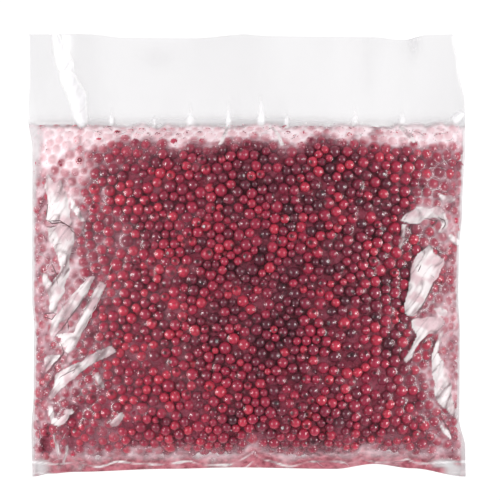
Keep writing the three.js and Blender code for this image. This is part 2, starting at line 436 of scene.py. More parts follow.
# %% Which berries are close
def close_pairs(points, reach):
    """Pairs nearer than reach: points are sorted by cubic cell, and each is set against the next cells."""
    cell = np.floor((points - points.min(0)) / reach).astype(np.int64) + 1
    size = cell.max(0) + 2
    key = (cell[:, 0] * size[1] + cell[:, 1]) * size[2] + cell[:, 2]
    order = np.argsort(key, kind="stable")
    ranked = key[order]
    found = []
    for i, j, k in CELL_STEPS:
        shift = (i * size[1] + j) * size[2] + k
        start = np.searchsorted(ranked, ranked + shift, "left")
        end = np.searchsorted(ranked, ranked + shift, "right")
        if shift == 0:
            start = np.arange(len(ranked)) + 1
        for more in range(int((end - start).max())):
            here = np.flatnonzero(start + more < end)
            found.append(np.stack([order[here], order[start[here] + more]], 1))
    pairs = np.concatenate(found)
    apart = np.linalg.norm(points[pairs[:, 0]] - points[pairs[:, 1]], axis=1)
    return pairs[apart < reach].T


# %% Push, draw and keep inside
def keep_inside(points, radius):
    """Moves each berry that crosses the film back, square to the film, until its radius fits inside."""
    for surface, way in ((roof, -1), (base, 1)):
        height, slope_x, slope_y = (read_map(values, points[:, 0], points[:, 1]) for values in surface)
        steep = np.sqrt(1 + slope_x**2 + slope_y**2)
        short = np.clip(radius - way * (points[:, 2] - height) / steep, 0, None)
        inwards = np.stack([-slope_x, -slope_y, np.ones_like(steep)], 1)
        points += (short / steep)[:, None] * way * inwards
    left, right, bottom, top = edges(points[:, 0] / BAG_WIDTH + 0.5, points[:, 1] / BAG_LENGTH + 0.5)
    off = radius + EDGE_ROOM
    points[:, 0] = np.clip(points[:, 0], left + off, right - off)
    points[:, 1] = np.clip(points[:, 1], bottom + FIN_LENGTH + off, top - HEADER_LENGTH - off)


def pack(points, radius):
    """Pushes overlapping berries apart, draws all towards the nearest film, and keeps them inside."""
    count = len(points)
    for turn in range(PACK_ROUNDS):
        if turn % PAIRS_EVERY == 0:
            first, second = close_pairs(points, PAIR_REACH)
        apart = points[first] - points[second]
        distance = np.linalg.norm(apart, axis=1) + TINY
        overlap = np.clip(radius[first] + radius[second] - distance, 0, None)
        push = apart * (PUSH * overlap / distance)[:, None]
        for axis in range(3):
            gained = np.bincount(first, push[:, axis], count)
            points[:, axis] += gained - np.bincount(second, push[:, axis], count)
        if turn < PACK_ROUNDS - QUIET_ROUNDS:
            middle = (read_map(roof_map, *points[:, :2].T) + read_map(base_map, *points[:, :2].T)) / 2
            points[:, 2] += DRAW * np.sign(points[:, 2] - middle)
        keep_inside(points, radius)
    return overlap


overlap = pack(centres, radii)
deep = np.percentile(overlap, 99)
print(f"packed: mean overlap {overlap[overlap > 0].mean():.2f} mm, 99 in 100 under {deep:.2f} mm")

# %% [markdown]
# ## The berries that can be seen
# Frozen juice and fine ice fill the gaps between the berries, so only those of the outer layer
# show. The berries deeper than that are left out, and one lumpy core of juice and ice stands in
# their place.

# %% Keep the outer berries
TOP_DEPTH, BACK_DEPTH = 9.5, 8.0  # how deep below the upper and lower film a berry is still made

below_roof = read_map(roof_map, centres[:, 0], centres[:, 1]) - centres[:, 2]
above_base = centres[:, 2] - read_map(base_map, centres[:, 0], centres[:, 1])
shown = (below_roof < TOP_DEPTH) | (above_base < BACK_DEPTH)
centres, radii = centres[shown], radii[shown]
print(f"{len(centres)} berries to make")

# %% [markdown]
# ## One berry
# A berry is nearly round, with a small sunk calyx at one end. It could be a ball, but a profile
# that is turned round an axis gives the calyx its dip for the same few faces. There are thousands
# of berries, so each has only 54 faces.

# %% One berry
SEGMENTS = 9  # round its axis
# Half outline from the calyx to the stalk end: (distance from the axis, height), as shares of the
# radius
BERRY_OUTLINE = (
    (0, 0.84), (0.20, 0.99), (0.66, 0.78), (1.0, 0.24), (0.93, -0.44), (0.52, -0.89), (0, -1.0),
)
CALYX_LEVEL, CALYX_SOFT, CALYX_RADIUS = 0.5, 0.3, 0.3  # its height, soft edge and width


def turned(outline, segments):
    """A profile turned round its axis: its points, the four-sided faces, and the caps at both poles."""
    angle = np.arange(segments) * 2 * np.pi / segments
    rings = [[r * np.cos(angle), r * np.sin(angle), np.full(segments, z)] for r, z in outline[1:-1]]
    poles = [[0, 0, outline[0][1]], [0, 0, outline[-1][1]]]
    points = np.concatenate([poles, *[np.array(ring).T for ring in rings]])
    here = np.arange(segments)
    beside = (here + 1) % segments
    last = 2 + (len(rings) - 1) * segments
    caps = np.concatenate([
        np.stack([np.zeros(segments, int), 2 + here, 2 + beside], 1),
        np.stack([np.ones(segments, int), last + beside, last + here], 1),
    ])
    bands = [np.stack([a + here, a + segments + here, a + segments + beside, a + beside], 1)
             for a in range(2, last, segments)]
    return points, np.concatenate(bands), caps


berry_points, berry_quads, berry_caps = turned(BERRY_OUTLINE, SEGMENTS)
calyx_share = np.clip((berry_points[:, 2] - CALYX_LEVEL) / CALYX_SOFT, 0, 1)
calyx_share *= np.hypot(*berry_points[:, :2].T) < CALYX_RADIUS
print(f"one berry: {len(berry_points)} points, {len(berry_quads)} + {len(berry_caps)} faces")


# %% Many copies
def random_turns(count):
    """Rotation matrices that point every way alike: random quaternions (w, x, y, z) of length 1."""
    drawn = chance.normal(size=(count, 4))
    w, x, y, z = drawn.T / np.linalg.norm(drawn, axis=1)
    return np.stack([
        1 - 2 * (y * y + z * z), 2 * (x * y - w * z), 2 * (x * z + w * y),
        2 * (x * y + w * z), 1 - 2 * (x * x + z * z), 2 * (y * z - w * x),
        2 * (x * z - w * y), 2 * (y * z + w * x), 1 - 2 * (x * x + y * y),
    ], 1).reshape(count, 3, 3)


def copies(points, blocks, places_at, sizes, turns):
    """Copies of one small mesh, each sized, turned and moved. Its faces count on from the last one's."""
    all_points = np.einsum("nij,nvj->nvi", turns, points[None] * sizes) + places_at[:, None]
    starts = (np.arange(len(places_at)) * len(points))[:, None, None]
    all_blocks = [(block[None] + starts).reshape(-1, block.shape[1]) for block in blocks]
    return all_points.reshape(-1, 3), all_blocks


# %% [markdown]
# ## Berry skin
# A ripe berry of this kind is glossy and runs from orange red to nearly black wine red, with a
# small dark calyx at one end. Freezing leaves a thin uneven bloom of ice on it. One ramp turns the
# tone that each berry carries into its colour, noise moves the colour a little within a berry, and
# a second noise lays the pale bloom on.

# %% Skin finish
# (tone, colour of the skin)
SKIN_TONES = (
    (0.0, (0.075, 0.010, 0.024)), (0.28, (0.17, 0.012, 0.038)), (0.55, (0.32, 0.015, 0.055)),
    (0.80, (0.50, 0.019, 0.068)), (1.0, (0.68, 0.034, 0.080)),
)
TONE_SWAY = 0.16  # how far a berry's tone strays from place to place
CALYX_COLOUR, CALYX_SHARE = (0.018, 0.006, 0.008), 0.85
BLOOM_COLOUR, BLOOM_SHARE = (0.42, 0.27, 0.33), 0.30
WET_COAT = {"Specular IOR Level": 0.35, "Coat Weight": 0.9, "Coat Roughness": 0.19, "Coat IOR": 1.6}


def berry_skin():
    """The tone picks the colour, the calyx darkens it, and a thin bloom of ice lies over both."""
    finish = Finish("berry_skin")
    mottle = finish.speckle(420, 3)
    shade = finish.carried("tone") + TONE_SWAY * (mottle - 0.5)
    ripe = finish.node("ValToRGB", {"stops": SKIN_TONES}, {"Fac": shade})
    dark = finish.blend(CALYX_SHARE * finish.carried("calyx"), ripe, CALYX_COLOUR)
    cover = BLOOM_SHARE * finish.clamp(finish.speckle(900, 4), 0.56, 0.78)
    colour = finish.blend(cover, dark, BLOOM_COLOUR)
    rough = 0.28 + 0.5 * cover + 0.08 * mottle
    height = finish.speckle(1400, 3)
    grain = finish.node("Bump", {}, {"Strength": 0.25, "Distance": 0.0004, "Height": height})
    return finish.surface(finish.node("BsdfPrincipled", {}, {
        "Base Color": colour, "Roughness": rough, "Normal": grain, **WET_COAT,
    }))


skin = berry_skin()

# %% [markdown]
# ## Three ripenesses
# The berries of one bag don't ripen alike: most are crimson, some bright red and some nearly black.
# Each could have a colour of its own at random, but three kinds, each with its range of tones, keep
# the shares in hand. Each kind is one mesh, and every berry carries its tone. Berries are a little
# flatter or longer by chance, and turned any way.

# %% Three ripenesses
# Each kind: name, share of the berries, darkest and brightest tone
KINDS = (
    ("berries_dark", 0.20, 0.08, 0.40), ("berries_crimson", 0.45, 0.34, 0.72),
    ("berries_bright", 0.35, 0.66, 1.0),
)
FLATTER, LONGER = 0.94, 1.06  # how far a berry's height and width stray from round

# Towards the sides and the bottom more berries are bright: (place, how much) across and along
BRIGHTER_ACROSS = (
    (-154, 0.20), (-100, 0.27), (-50, 0.12), (10, -0.07), (50, -0.05), (95, 0.14), (154, 0.20),
)
BRIGHTER_ALONG = ((-156, 0.20), (-95, 0.14), (-50, 0.0), (60, 0.0), (95, 0.05))

# A shift by place towards the brighter kinds, at the sides and the bottom
brighter = through(BRIGHTER_ACROSS, centres[:, 0]) + through(BRIGHTER_ALONG, centres[:, 1])
drawn = chance.random(len(centres)) + brighter
kind_of = np.searchsorted(np.cumsum([share for _, share, _, _ in KINDS])[:-1], drawn)
for number, (name, _, dark_tone, bright_tone) in enumerate(KINDS):
    mine = np.flatnonzero(kind_of == number)
    sizes = radii[mine, None, None] * chance.uniform(FLATTER, LONGER, (len(mine), 1, 3))
    turns = random_turns(len(mine))
    points, blocks = copies(berry_points, (berry_quads, berry_caps), centres[mine], sizes, turns)
    tones = np.repeat(chance.uniform(dark_tone, bright_tone, len(mine)), len(berry_points))
    carried = {"tone": tones, "calyx": np.tile(calyx_share, len(mine))}
    make_piece(name, points, blocks, skin, carried)

# %% [markdown]
# ## The core
# It is the frozen mush that the outer berries sit in, a dull purple brown. It is one closed skin, a
# few millimetres under the film, and soft noise makes it lumpy.

# %% Core
CORE_TOP, CORE_BACK = 4.3, 3.4  # how deep the core lies below the upper and above the lower film
CORE_COLUMNS, CORE_ROWS = 150, 120
CORE_SIDE, CORE_END = 0.018, 0.010  # share of the width and length left free at each side and end
CORE_THIN = 0.3  # least half thickness
LUMPS = ((1.2, 4.5, 5), (1.9, 13.0, 6))  # height up and down, pitch, and seed
JUICE_DARK, JUICE_PALE = (0.20, 0.018, 0.040), (0.29, 0.050, 0.085)
FLECK_COLOUR, FLECK_SHARE = (0.45, 0.17, 0.23), 0.4  # grains of pale ice
# Painted shade: dark spots on the core stand for the shaded gaps between deeper berries
GAP_SHADE_COLOUR, GAP_SHADE_SHARE = (0.060, 0.006, 0.013), 0.6  # dark gaps between the berries


def sheet_of(index):
    """Four-sided faces of a grid of point numbers, facing up."""
    corners = [index[:-1, :-1], index[:-1, 1:], index[1:, 1:], index[1:, :-1]]
    return np.stack(corners, -1).reshape(-1, 4)


def ring_of(index):
    """Point numbers round the edge of a grid, anticlockwise from its first corner."""
    return np.concatenate([index[0, :-1], index[:-1, -1], index[-1, :0:-1], index[:0:-1, 0]])


def two_sheets(upper, lower):
    """A closed skin from two grids of points with the same rows and columns: two sheets and a rim."""
    index = np.arange(upper[..., 0].size).reshape(upper.shape[:2])
    ring = ring_of(index)
    after = np.roll(ring, -1)
    rim = np.stack([ring + index.size, after + index.size, after, ring], 1)
    points = np.concatenate([upper.reshape(-1, 3), lower.reshape(-1, 3)])
    return points, [sheet_of(index), sheet_of(index)[:, ::-1] + index.size, rim]


def core_skin():
    """Both films moved inwards by a few millimetres, plus the lumps, and never closer than CORE_THIN."""
    u, v = np.meshgrid(np.linspace(CORE_SIDE, 1 - CORE_SIDE, CORE_COLUMNS),
                       np.linspace(FILL_START + CORE_END, FILL_END - CORE_END, CORE_ROWS))
    x, y = plan(u, v)
    lump = sum(height * swing(cloud(x, y, pitch, seed)) for height, pitch, seed in LUMPS)
    upper, lower = top_film(u, v) - CORE_TOP + lump, back_film(u, v) + CORE_BACK + lump
    middle = (upper + lower) / 2
    return two_sheets(np.stack([x, y, np.maximum(upper, middle + CORE_THIN)], -1),
                      np.stack([x, y, np.minimum(lower, middle - CORE_THIN)], -1))


def core_finish():
    """Two tones of frozen juice, with grains of pale ice, and painted shade in the gaps between the
    berries.
    """
    finish = Finish("core_juice")
    blotch = finish.clamp(finish.speckle(130, 5), 0.38, 0.62)
    fleck = finish.clamp(finish.speckle(800, 3), 0.50, 0.75)
    # where the painted shade of the gaps lies
    gap_shade = finish.clamp(finish.speckle(520, 3), 0.52, 0.68)
    juice = finish.blend(blotch, JUICE_DARK, JUICE_PALE)
    colour = finish.blend(FLECK_SHARE * fleck, juice, FLECK_COLOUR)
    colour = finish.blend(GAP_SHADE_SHARE * gap_shade, colour, GAP_SHADE_COLOUR)
    height = finish.speckle(420, 4)
    relief = finish.node("Bump", {}, {"Strength": 0.5, "Distance": 0.0008, "Height": height})
    return finish.surface(finish.node("BsdfPrincipled", {}, {
        "Base Color": colour, "Roughness": 0.6 + 0.2 * blotch, "Normal": relief,
        "Specular IOR Level": 0.15,
    }))


core_points, core_faces = core_skin()
make_piece("berry_core", core_points, core_faces, core_finish())

# %% [markdown]
# ## Draping the film
# Loose film settles on the berries: it touches each top and sags a little between them. Where it
# has slack, at both sides, it stands off in smooth creased folds, and those catch the light. Cloth
# simulation could do this, but a height field is enough, because the film never folds under itself.
# The film starts as the smooth pillow. Then each point moves to the mean of its four neighbours,
# less a small pull, and never below what it rests on.

# %% Film grid
FILM_COLUMNS, FILM_ROWS = 270, 274  # spaces of about 1.1 mm in the upper sheet, both even

film_u, film_v = np.meshgrid(np.linspace(0, 1, FILM_COLUMNS + 1), np.linspace(0, 1, FILM_ROWS + 1))
film_x, film_y = plan(film_u, film_v)
in_fill = film_v < FILL_END
to_side = np.minimum(film_u, 1 - film_u) * BAG_WIDTH
to_end = np.minimum(film_v - FILL_START, FILL_END - film_v) * BAG_LENGTH
to_outline = np.minimum(to_side, to_end)


def over_film(pitch, seed):
    """Soft noise from 0 to 1 at every film point."""
    return cloud(film_x, film_y, pitch, seed)


def across_film(pitch, seed):
    """Soft noise from 0 to 1 that changes only across the bag."""
    return cloud(film_x, 0 * film_y, pitch, seed)


print(f"film: {film_x.size} points in the upper sheet")

# %% What the film rests on
BERRY_CELLS = 5  # film points to each side of a berry's centre that it can reach
FILM_GAP = 0.12  # between a berry and the middle of the film on it
NOTHING = -1e3  # height of a place where nothing holds the film up


def berry_tops():
    """Highest berry surface under each film point: centre height plus sqrt(radius^2 - distance^2)."""
    rest = np.full(film_x.shape, NOTHING)
    u, v = places(centres[:, 0], centres[:, 1])
    near_i = np.rint(u * FILM_COLUMNS).astype(int)
    near_j = np.rint(v * FILM_ROWS).astype(int)
    for di in range(-BERRY_CELLS, BERRY_CELLS + 1):
        for dj in range(-BERRY_CELLS, BERRY_CELLS + 1):
            i, j = np.clip(near_i + di, 0, FILM_COLUMNS), np.clip(near_j + dj, 0, FILM_ROWS)
            left = radii**2 - (film_x[j, i] - centres[:, 0]) ** 2 - (film_y[j, i] - centres[:, 1]) ** 2
            height = np.where(left > 0, centres[:, 2] + np.sqrt(np.maximum(left, 0)), NOTHING)
            np.maximum.at(rest, (j, i), height + FILM_GAP)
    return rest


resting = berry_tops()

# %% The grain of the folds
GRAIN_TURN = math.radians(55)  # folds run from upper right to lower left, this far from level
CREASE_STRETCH = 3.2  # length of a ridge to its pitch

along_grain = film_x * math.cos(GRAIN_TURN) + film_y * math.sin(GRAIN_TURN)
across_grain = film_y * math.cos(GRAIN_TURN) - film_x * math.sin(GRAIN_TURN)


def along_folds(stretch, pitch, seed):
    """Soft noise from 0 to 1 over the film, stretched so many times along the folds."""
    return cloud(along_grain / stretch, across_grain, pitch, seed)


def creases(pitch, seed):
    """Sharp ridges from 0 to 1 along the folds: 1 - |2n - 1| of a stretched noise n."""
    return 1 - np.abs(swing(along_folds(CREASE_STRETCH, pitch, seed)))


# %% [markdown]
# ## Facets and folds
# At both sides the film has slack. It pulls taut between a few berries there, and such a flat facet
# throws the lamps' light back white; that white is also painted into the film's colour as a
# highlight. A simulation would put facets where it likes, so here each one is drawn: a closed
# outline or a line on the film, the height that it holds the film up to, and how white its painted
# highlight is. Soft noise frays the outlines.

# %% Facets and folds of slack film
# Facets are flat pieces of taut film. Each: how white its painted highlight is, and its corners (x, y)
FACETS = (
    (0.95, (
        (-138.6, 57), (-134.4, 50), (-129.5, 52.8), (-126.7, 44.4), (-123.9, 33.2), (-122.5, 22),
        (-129.5, 22), (-136.5, 24.1), (-139.3, 26.2), (-137.9, 36.8), (-140.7, 47.2),
    )),
    (0.95, (
        (-137.9, 19.2), (-129.5, 20.6), (-121.1, 18.5), (-120.4, 10.8), (-123.2, -1.8), (-124.6, -14.3),
        (-127.4, -21.3), (-126.7, -24.8), (-130.9, -31.1), (-133.7, -39.5), (-137.9, -38.8),
        (-136.5, -29), (-139.3, -23.4), (-142.8, -12.9), (-140, -13.6), (-135.1, -20.6),
        (-130.9, -13.6), (-128.8, -8), (-130.9, -1), (-134.4, 7.3), (-137.2, 13.6),
    )),
    (0.95, (
        (-109.9, -14.3), (-105, -14.3), (-111.3, -26.2), (-116.9, -34.6), (-123.9, -42.3),
        (-130.9, -46.5), (-135.1, -55.6), (-137.9, -52.1), (-134.4, -43.8), (-126.7, -35.3),
        (-118.3, -25.5),
    )),
    (1, (
        (-100.8, -17.8), (-98, -20.6), (-104.3, -33.2), (-111.3, -46.5), (-119.7, -62.6),
        (-123.9, -66.8), (-125.3, -65.5), (-118.3, -50.8), (-111.3, -36), (-104.3, -22.8),
    )),
    (0.85, (
        (-132.3, -54.9), (-126.7, -53.5), (-119.7, -54.2), (-125.3, -63.3), (-129.5, -61.9),
        (-128.1, -57.7),
    )),
    (0.8, (
        (-140.7, -71.8), (-136.5, -68.9), (-129.5, -68.9), (-133.7, -73.8), (-139.3, -80.1),
        (-140.7, -77.3),
    )),
    (0.95, (
        (-93.8, -62.6), (-91, -66.8), (-102.9, -72.4), (-111.3, -78), (-119.7, -85), (-126.7, -89.9),
        (-132.3, -95.5), (-136.5, -99.8), (-137.9, -96.9), (-133.7, -89.9), (-132.3, -82.9),
        (-122.5, -77.3), (-111.3, -71.8), (-102.9, -66.1),
    )),
    (0.85, (
        (-138.6, -104.6), (-136.5, -104.6), (-134.4, -113), (-130.9, -114.4), (-125.3, -109.5),
        (-126.7, -107.4), (-121.1, -106.8), (-118.3, -108.8), (-122.5, -110.2), (-123.9, -113.7),
        (-130.9, -118.6), (-135.8, -116.5), (-137.9, -110.9),
    )),
    (0.6, (
        (-123.2, 39.5), (-120.4, 36.8), (-115.5, 29.7), (-112, 24.8), (-114.1, 24.1), (-119.7, 30.4),
    )),
    (0.95, (
        (107.8, 24.8), (109.9, 28.3), (116.9, 33.2), (125.3, 32.5), (131.6, 33.6), (136.5, 30.4),
        (139.6, 24.8), (138.9, 19.9), (135.1, 16.4), (133.7, 17.8), (136.5, 22), (134.4, 25.5),
        (130.2, 26.6), (122.5, 24.8), (118.3, 22.8), (114.1, 22), (109.9, 22.8),
    )),
    (0.95, (
        (126.7, 6.3), (130.2, 0.3), (136.5, -2.4), (136.8, -5.9), (133, -13.6), (129.5, -17.8),
        (125.3, -27.6), (119.7, -36), (116.9, -41.6), (112.7, -42.3), (109.5, -40.2), (109.2, -33.9),
        (112, -24.8), (113.4, -13.6), (114.1, -5.2), (118.3, 1.8), (122.5, 3.8),
    )),
    (0.75, ((129.5, -36.8), (134.4, -36), (139.3, -38.8), (137.9, -42.3), (133, -41.6))),
    (0.8, (
        (114.1, -44.4), (123.9, -43), (133.7, -42.3), (137.2, -47.2), (132.3, -52.8), (125.3, -54.2),
        (119.7, -59.8), (112.7, -72.4), (109.9, -75.9), (109.2, -72.4), (114.1, -64), (117.6, -55.6),
        (114.8, -48.6),
    )),
    (0.9, (
        (135.8, -52.8), (133.7, -60.5), (132.3, -68.2), (135.8, -74.5), (139.3, -83.6), (142.1, -90.6),
        (142.1, -99), (144.2, -106.8), (147, -113.7), (144.2, -112.3), (139.3, -106.8), (133.7, -102.5),
        (130.9, -95.5), (130.2, -87.1), (128.8, -78.8), (128.1, -71), (130.9, -62.6),
    )),
    (0.55, ((132.3, 43), (139.3, 41.6), (145.6, 38.8), (142.1, 36.8), (135.1, 38.8))),
    (0.5, ((107.8, 22), (110.6, 20.6), (108.5, 10.8), (106.4, 3.8), (105, 6.6))),
)
# Folds are narrow. Each: how white its painted highlight is, and a line of (x, y, half width)
FOLDS = (
    (0.35, ((-103.6, -82.9, 2.1), (-100.8, -89.2, 2.8))),
    (0.35, ((-86.8, -110.2, 2.1), (-91.7, -115.8, 2.8))),
    (0.6, ((-134.4, -123.5, 0.6), (-131.6, -138.9, 0.8))),
    (0.6, ((-125.3, -133.3, 0.6), (-128.1, -144.5, 0.8))),
    (0.7, ((135.8, -118.6, 0.7), (139.3, -123.5, 1.4), (142.1, -127.7, 0.7))),
    (0.6, ((142.1, 13.6, 1.4), (147, 8.8, 1.8))),
    (0.6, ((-14, 92, 0.8), (-15, 86, 1), (-18.5, 77, 0.6))),
    (0.6, ((16, 91, 0.6), (20, 86, 0.9), (25, 77, 0.6))),
    (0.5, ((108, 90, 1.2), (113, 84, 1.5), (117, 79, 0.8))),
)

# %% Distances on the film
STAND_OFF, STAND_OVER = 1.0, 2.4  # a facet's height over the smooth pillow, and the width of its slope
HELD = 1.2  # how far past its outline a facet still holds the film up
# Width of the soft edge of its painted highlight, from crisp to faded, and the noise that says where
FACET_BLUR, FACET_FADE, FADE_PITCH, FADE_SEED = 0.7, 5.0, 11, 48
WHITE_PAST = 0.4  # how far past the outline the whiteness goes, as a share of that width
# How far the outlines wander, over what length, and the seed
WARPS_X, WARPS_Y = ((0.8, 5.5, 11), (0.4, 2.4, 13)), ((0.8, 5.5, 12), (0.4, 2.4, 14))
FAR = 1e9


def nearest_on(line, x, y):
    """Distance of each point from a broken line, less its half width there, and that half width."""
    nearest, width = np.full(x.shape, FAR), np.zeros(x.shape)
    for (x0, y0, w0), (x1, y1, w1) in zip(line[:-1], line[1:]):
        length = (x1 - x0) ** 2 + (y1 - y0) ** 2
        share = np.clip(((x - x0) * (x1 - x0) + (y - y0) * (y1 - y0)) / length, 0, 1)
        at_x, at_y, wide = x0 + share * (x1 - x0), y0 + share * (y1 - y0), w0 + share * (w1 - w0)
        away = np.hypot(x - at_x, y - at_y) - wide
        width = np.where(away < nearest, wide, width)
        nearest = np.minimum(away, nearest)
    return nearest, width


def beside_outline(corners, x, y):
    """Distance to a closed outline. It is negative inside, where a line to the right crosses it oddly."""
    ring = [(a, b, 0) for a, b in corners]
    away = nearest_on(ring + ring[:1], x, y)[0]
    crossed = np.zeros(x.shape, int)
    for (x0, y0), (x1, y1) in zip(corners, corners[1:] + corners[:1]):
        level = (y0 > y) != (y1 > y)
        crossed += level & (x < x0 + (x1 - x0) * (y - y0) / (y1 - y0 if y1 != y0 else 1))
    return np.where(crossed % 2 == 1, -away, away)


# %% What facets and folds hold up
def fold_heights():
    """What facets and folds hold up, and how much of each place one of them covers with painted highlight.
    """
    rest, cover = np.full(film_x.shape, NOTHING), np.zeros(film_x.shape)
    x = film_x + sum(far * swing(over_film(pitch, seed)) for far, pitch, seed in WARPS_X)
    y = film_y + sum(far * swing(over_film(pitch, seed)) for far, pitch, seed in WARPS_Y)
    pillow = top_film(film_u, film_v)
    blur = FACET_BLUR + (FACET_FADE - FACET_BLUR) * over_film(FADE_PITCH, FADE_SEED) ** 2
    shapes = [(strength, beside_outline(corners, x, y)) for strength, corners in FACETS]
    shapes += [(strength, nearest_on(line, x, y)[0]) for strength, line in FOLDS]
    for strength, outside in shapes:
        stand = pillow + STAND_OFF * ease(-outside / STAND_OVER)
        rest = np.where(outside < HELD, np.maximum(rest, stand - np.clip(outside, 0, None)), rest)
        cover = np.maximum(cover, strength * ease(WHITE_PAST - outside / blur))
    return rest, cover


fold_rest, fold_highlight = fold_heights()
print(f"{len(FACETS)} facets and {len(FOLDS)} folds whiten {100 * fold_highlight.mean():.1f} % of the film")

# %% Let the film settle
SETTLE_ROUNDS = 260
PULL = 0.055  # millimetres a round
LOOSE_EDGE = 16.0  # from the outline, where the film has slack and pulls less
LOOSE_PULL = 0.012
ROWS_PAST = 2  # rows of points past the filling that settle too


def settle(film, rest, pull, rounds):
    """Moves inner points to the mean of their neighbours less the pull, never below what they rest on."""
    for _ in range(rounds):
        mean = (film[1:-1, :-2] + film[1:-1, 2:] + film[:-2, 1:-1] + film[2:, 1:-1]) / 4
        film[1:-1, 1:-1] = np.maximum(mean - pull[1:-1, 1:-1], rest[1:-1, 1:-1])
    return film


pull = LOOSE_PULL + (PULL - LOOSE_PULL) * ease(to_outline / LOOSE_EDGE) * (1 - fold_highlight)
held_up = np.where(in_fill, np.maximum(resting, fold_rest), NOTHING)
support = np.maximum(held_up, back_film(film_u, film_v) + FILM_PAIR)
draped = top_film(film_u, film_v)
fill_rows = int(FILL_END * FILM_ROWS) + ROWS_PAST
draped[:fill_rows] = settle(draped[:fill_rows], support[:fill_rows], pull[:fill_rows], SETTLE_ROUNDS)
gap = draped[in_fill] - np.maximum(resting[in_fill], 0)
print(f"film: half of it is within {np.median(gap):.2f} mm of a berry")

# %% Crinkles where the film is slack
CRINKLE, CRINKLE_PITCH, CRINKLE_SEED = 0.55, 6.5, 21  # height and pitch
SLACK_WIDTH, SLACK_START = 44.0, 3.0  # from each side fold, and where the slack starts
SLACK_LOW, SLACK_LOW_SOFT = 150, 12  # how far below the middle it ends, and over what length
SLACK_HIGH, SLACK_HIGH_SOFT = 97, 10  # the same above the middle

slack = ease(1 - to_side / SLACK_WIDTH) * ease(to_side / SLACK_START)
slack *= ease((film_y + SLACK_LOW) / SLACK_LOW_SOFT)
slack *= ease((SLACK_HIGH - film_y) / SLACK_HIGH_SOFT)
crinkle = creases(CRINKLE_PITCH, CRINKLE_SEED)
draped += CRINKLE * slack * crinkle**2
print(f"crinkles: up to {(CRINKLE * slack * crinkle**2).max():.2f} mm")

# %% [markdown]
# ## The header
# The empty header lies nearly flat. One broad bend runs down its left side, and short puckers stand
# where it leaves the filling. They are a height that is added to the film, and a painted highlight
# for the material, from the same formula.

# %% Header folds
HEADER_FOOT = 90.0  # where the header starts to rise from the filling
HEADER_START, HEADER_SOFT = 86, 8  # where its relief starts, and over what length
# Broad streaks where the header is bent: height, how white its painted highlight is, and a line of (x, y,
# half width)
STREAKS = (
    (0.9, 0.5, ((-134.5, 156, 2.0), (-131.8, 144, 3.8), (-127.8, 134, 5.6))),
    (1.0, 0.55, ((-126.5, 126, 4.6), (-119.5, 112, 5.8), (-117, 98, 4.2), (-115.7, 92, 2.6))),
    (0.5, 0.8, ((150.5, 99, 1.2), (147, 96, 2.0))),
)
STREAK_BLUR, STREAK_PAST = 4.5, 0.5  # soft edge of the whiteness, and how far it goes past the streak
# Puckers above the filling: x, top, half width at the foot, and how white the painted highlight is
PUCKERS = (
    (-95.2, 106, 1.6, 0.55), (-65.1, 99, 1.4, 0.40), (-39.9, 109, 3.0, 0.45), (-13.0, 110, 1.6, 0.80),
    (9.8, 114, 2.4, 0.90), (27.7, 103, 1.5, 0.60), (75.6, 108, 1.9, 0.85), (108.9, 105, 2.6, 0.50),
)
PUCKER_HEIGHT, PUCKER_TAPER = 0.7, 0.7
BACK_RISE = 0.75  # how far the lower layer follows


# %% Relief of the header
def header_relief(x, y):
    """Height and painted highlight of streaks, and of puckers: exp(-(across / width)^2), less towards the
    top.
    """
    rise, white = np.zeros(x.shape), np.zeros(x.shape)
    for height, strength, line in STREAKS:
        outside, width = nearest_on(line, x, y)
        rise = np.maximum(rise, height * ease(-outside / width))
        white = np.maximum(white, strength * ease(STREAK_PAST - outside / STREAK_BLUR))
    for middle, top, foot, strength in PUCKERS:
        up = np.clip((y - HEADER_FOOT) / (top - HEADER_FOOT), 0, 1)
        crest = np.exp(-(((x - middle) / (foot * (1 - PUCKER_TAPER * up))) ** 2)) * (1 - up)
        rise = np.maximum(rise, PUCKER_HEIGHT * crest)
        white = np.maximum(white, strength * crest)
    return rise, white


ridges, header_highlight = header_relief(film_x, film_y)
header = ease((film_y - HEADER_START) / HEADER_SOFT)
draped += ridges * header
back_sheet = back_film(film_u, film_v) + BACK_RISE * ridges * header * (film_v > FILL_END)

# %% [markdown]
# ## The film's finish
# Clear film does three things at once: it lets most light through, it mirrors a little of what is
# round it, and where juice and ice coat its inside it scatters light like pink milk. Three shaders
# are mixed for that. The mirror's share grows towards a slant. The share of milk is worked out here
# for each point of the mesh, and carried to the material: it is high along the outline, and nearly
# nothing over the middle.

# %% Veil of frost and juice
# (place, share of milk) across the bag and along it
VEIL_ACROSS = (
    (-154, 0.52), (-147, 0.52), (-140, 0.50), (-130, 0.46), (-120, 0.38), (-105, 0.30),
    (-80, 0.18), (-45, 0.09), (-10, 0.02), (50, 0.02), (80, 0.05), (112, 0.11), (128, 0.26),
    (140, 0.40), (148, 0.46), (154, 0.50),
)
VEIL_ALONG = (
    (-156, 0.93), (-147, 0.92), (-144, 0.86), (-141, 0.60), (-137, 0.34), (-130, 0.12), (-121, 0.0),
    (68, 0), (72, 0.10), (76, 0.28), (79.5, 0.58), (83, 0.88), (88, 0.96), (93, 0.96),
)
# Noise that breaks up the veil: its share, and (stretch along the folds,) pitch and seed
BROAD_SHARE, BROAD_NOISE, FINE_SHARE, FINE_NOISE = 0.25, (17, 31), 0.3, (3.4, 33)
FOLD_SHARE, FOLD_NOISE = 0.45, (2.4, 4.6, 32)
PATCH_NOISE, MARGIN_NOISE, JUICE_NOISE, TOUCH_NOISE = (2.5, 5, 36), (6, 45), (7, 39), (6.5, 47)
CREST_NOISE, STREAK_NOISE = (8, 46), (5, 2.6, 37)
HEADER_TALL, HEADER_NOISE, FOOT_TALL, FOOT_NOISE = 3, (30, 34), 6, (8, 42)
# Frosty patches all over the filling: share of milk, where one starts in the noise, and its edge
BLOOM, BLOOM_START, BLOOM_SOFT, BLOOM_NOISE = 0.14, 0.5, 0.35, (9, 38)
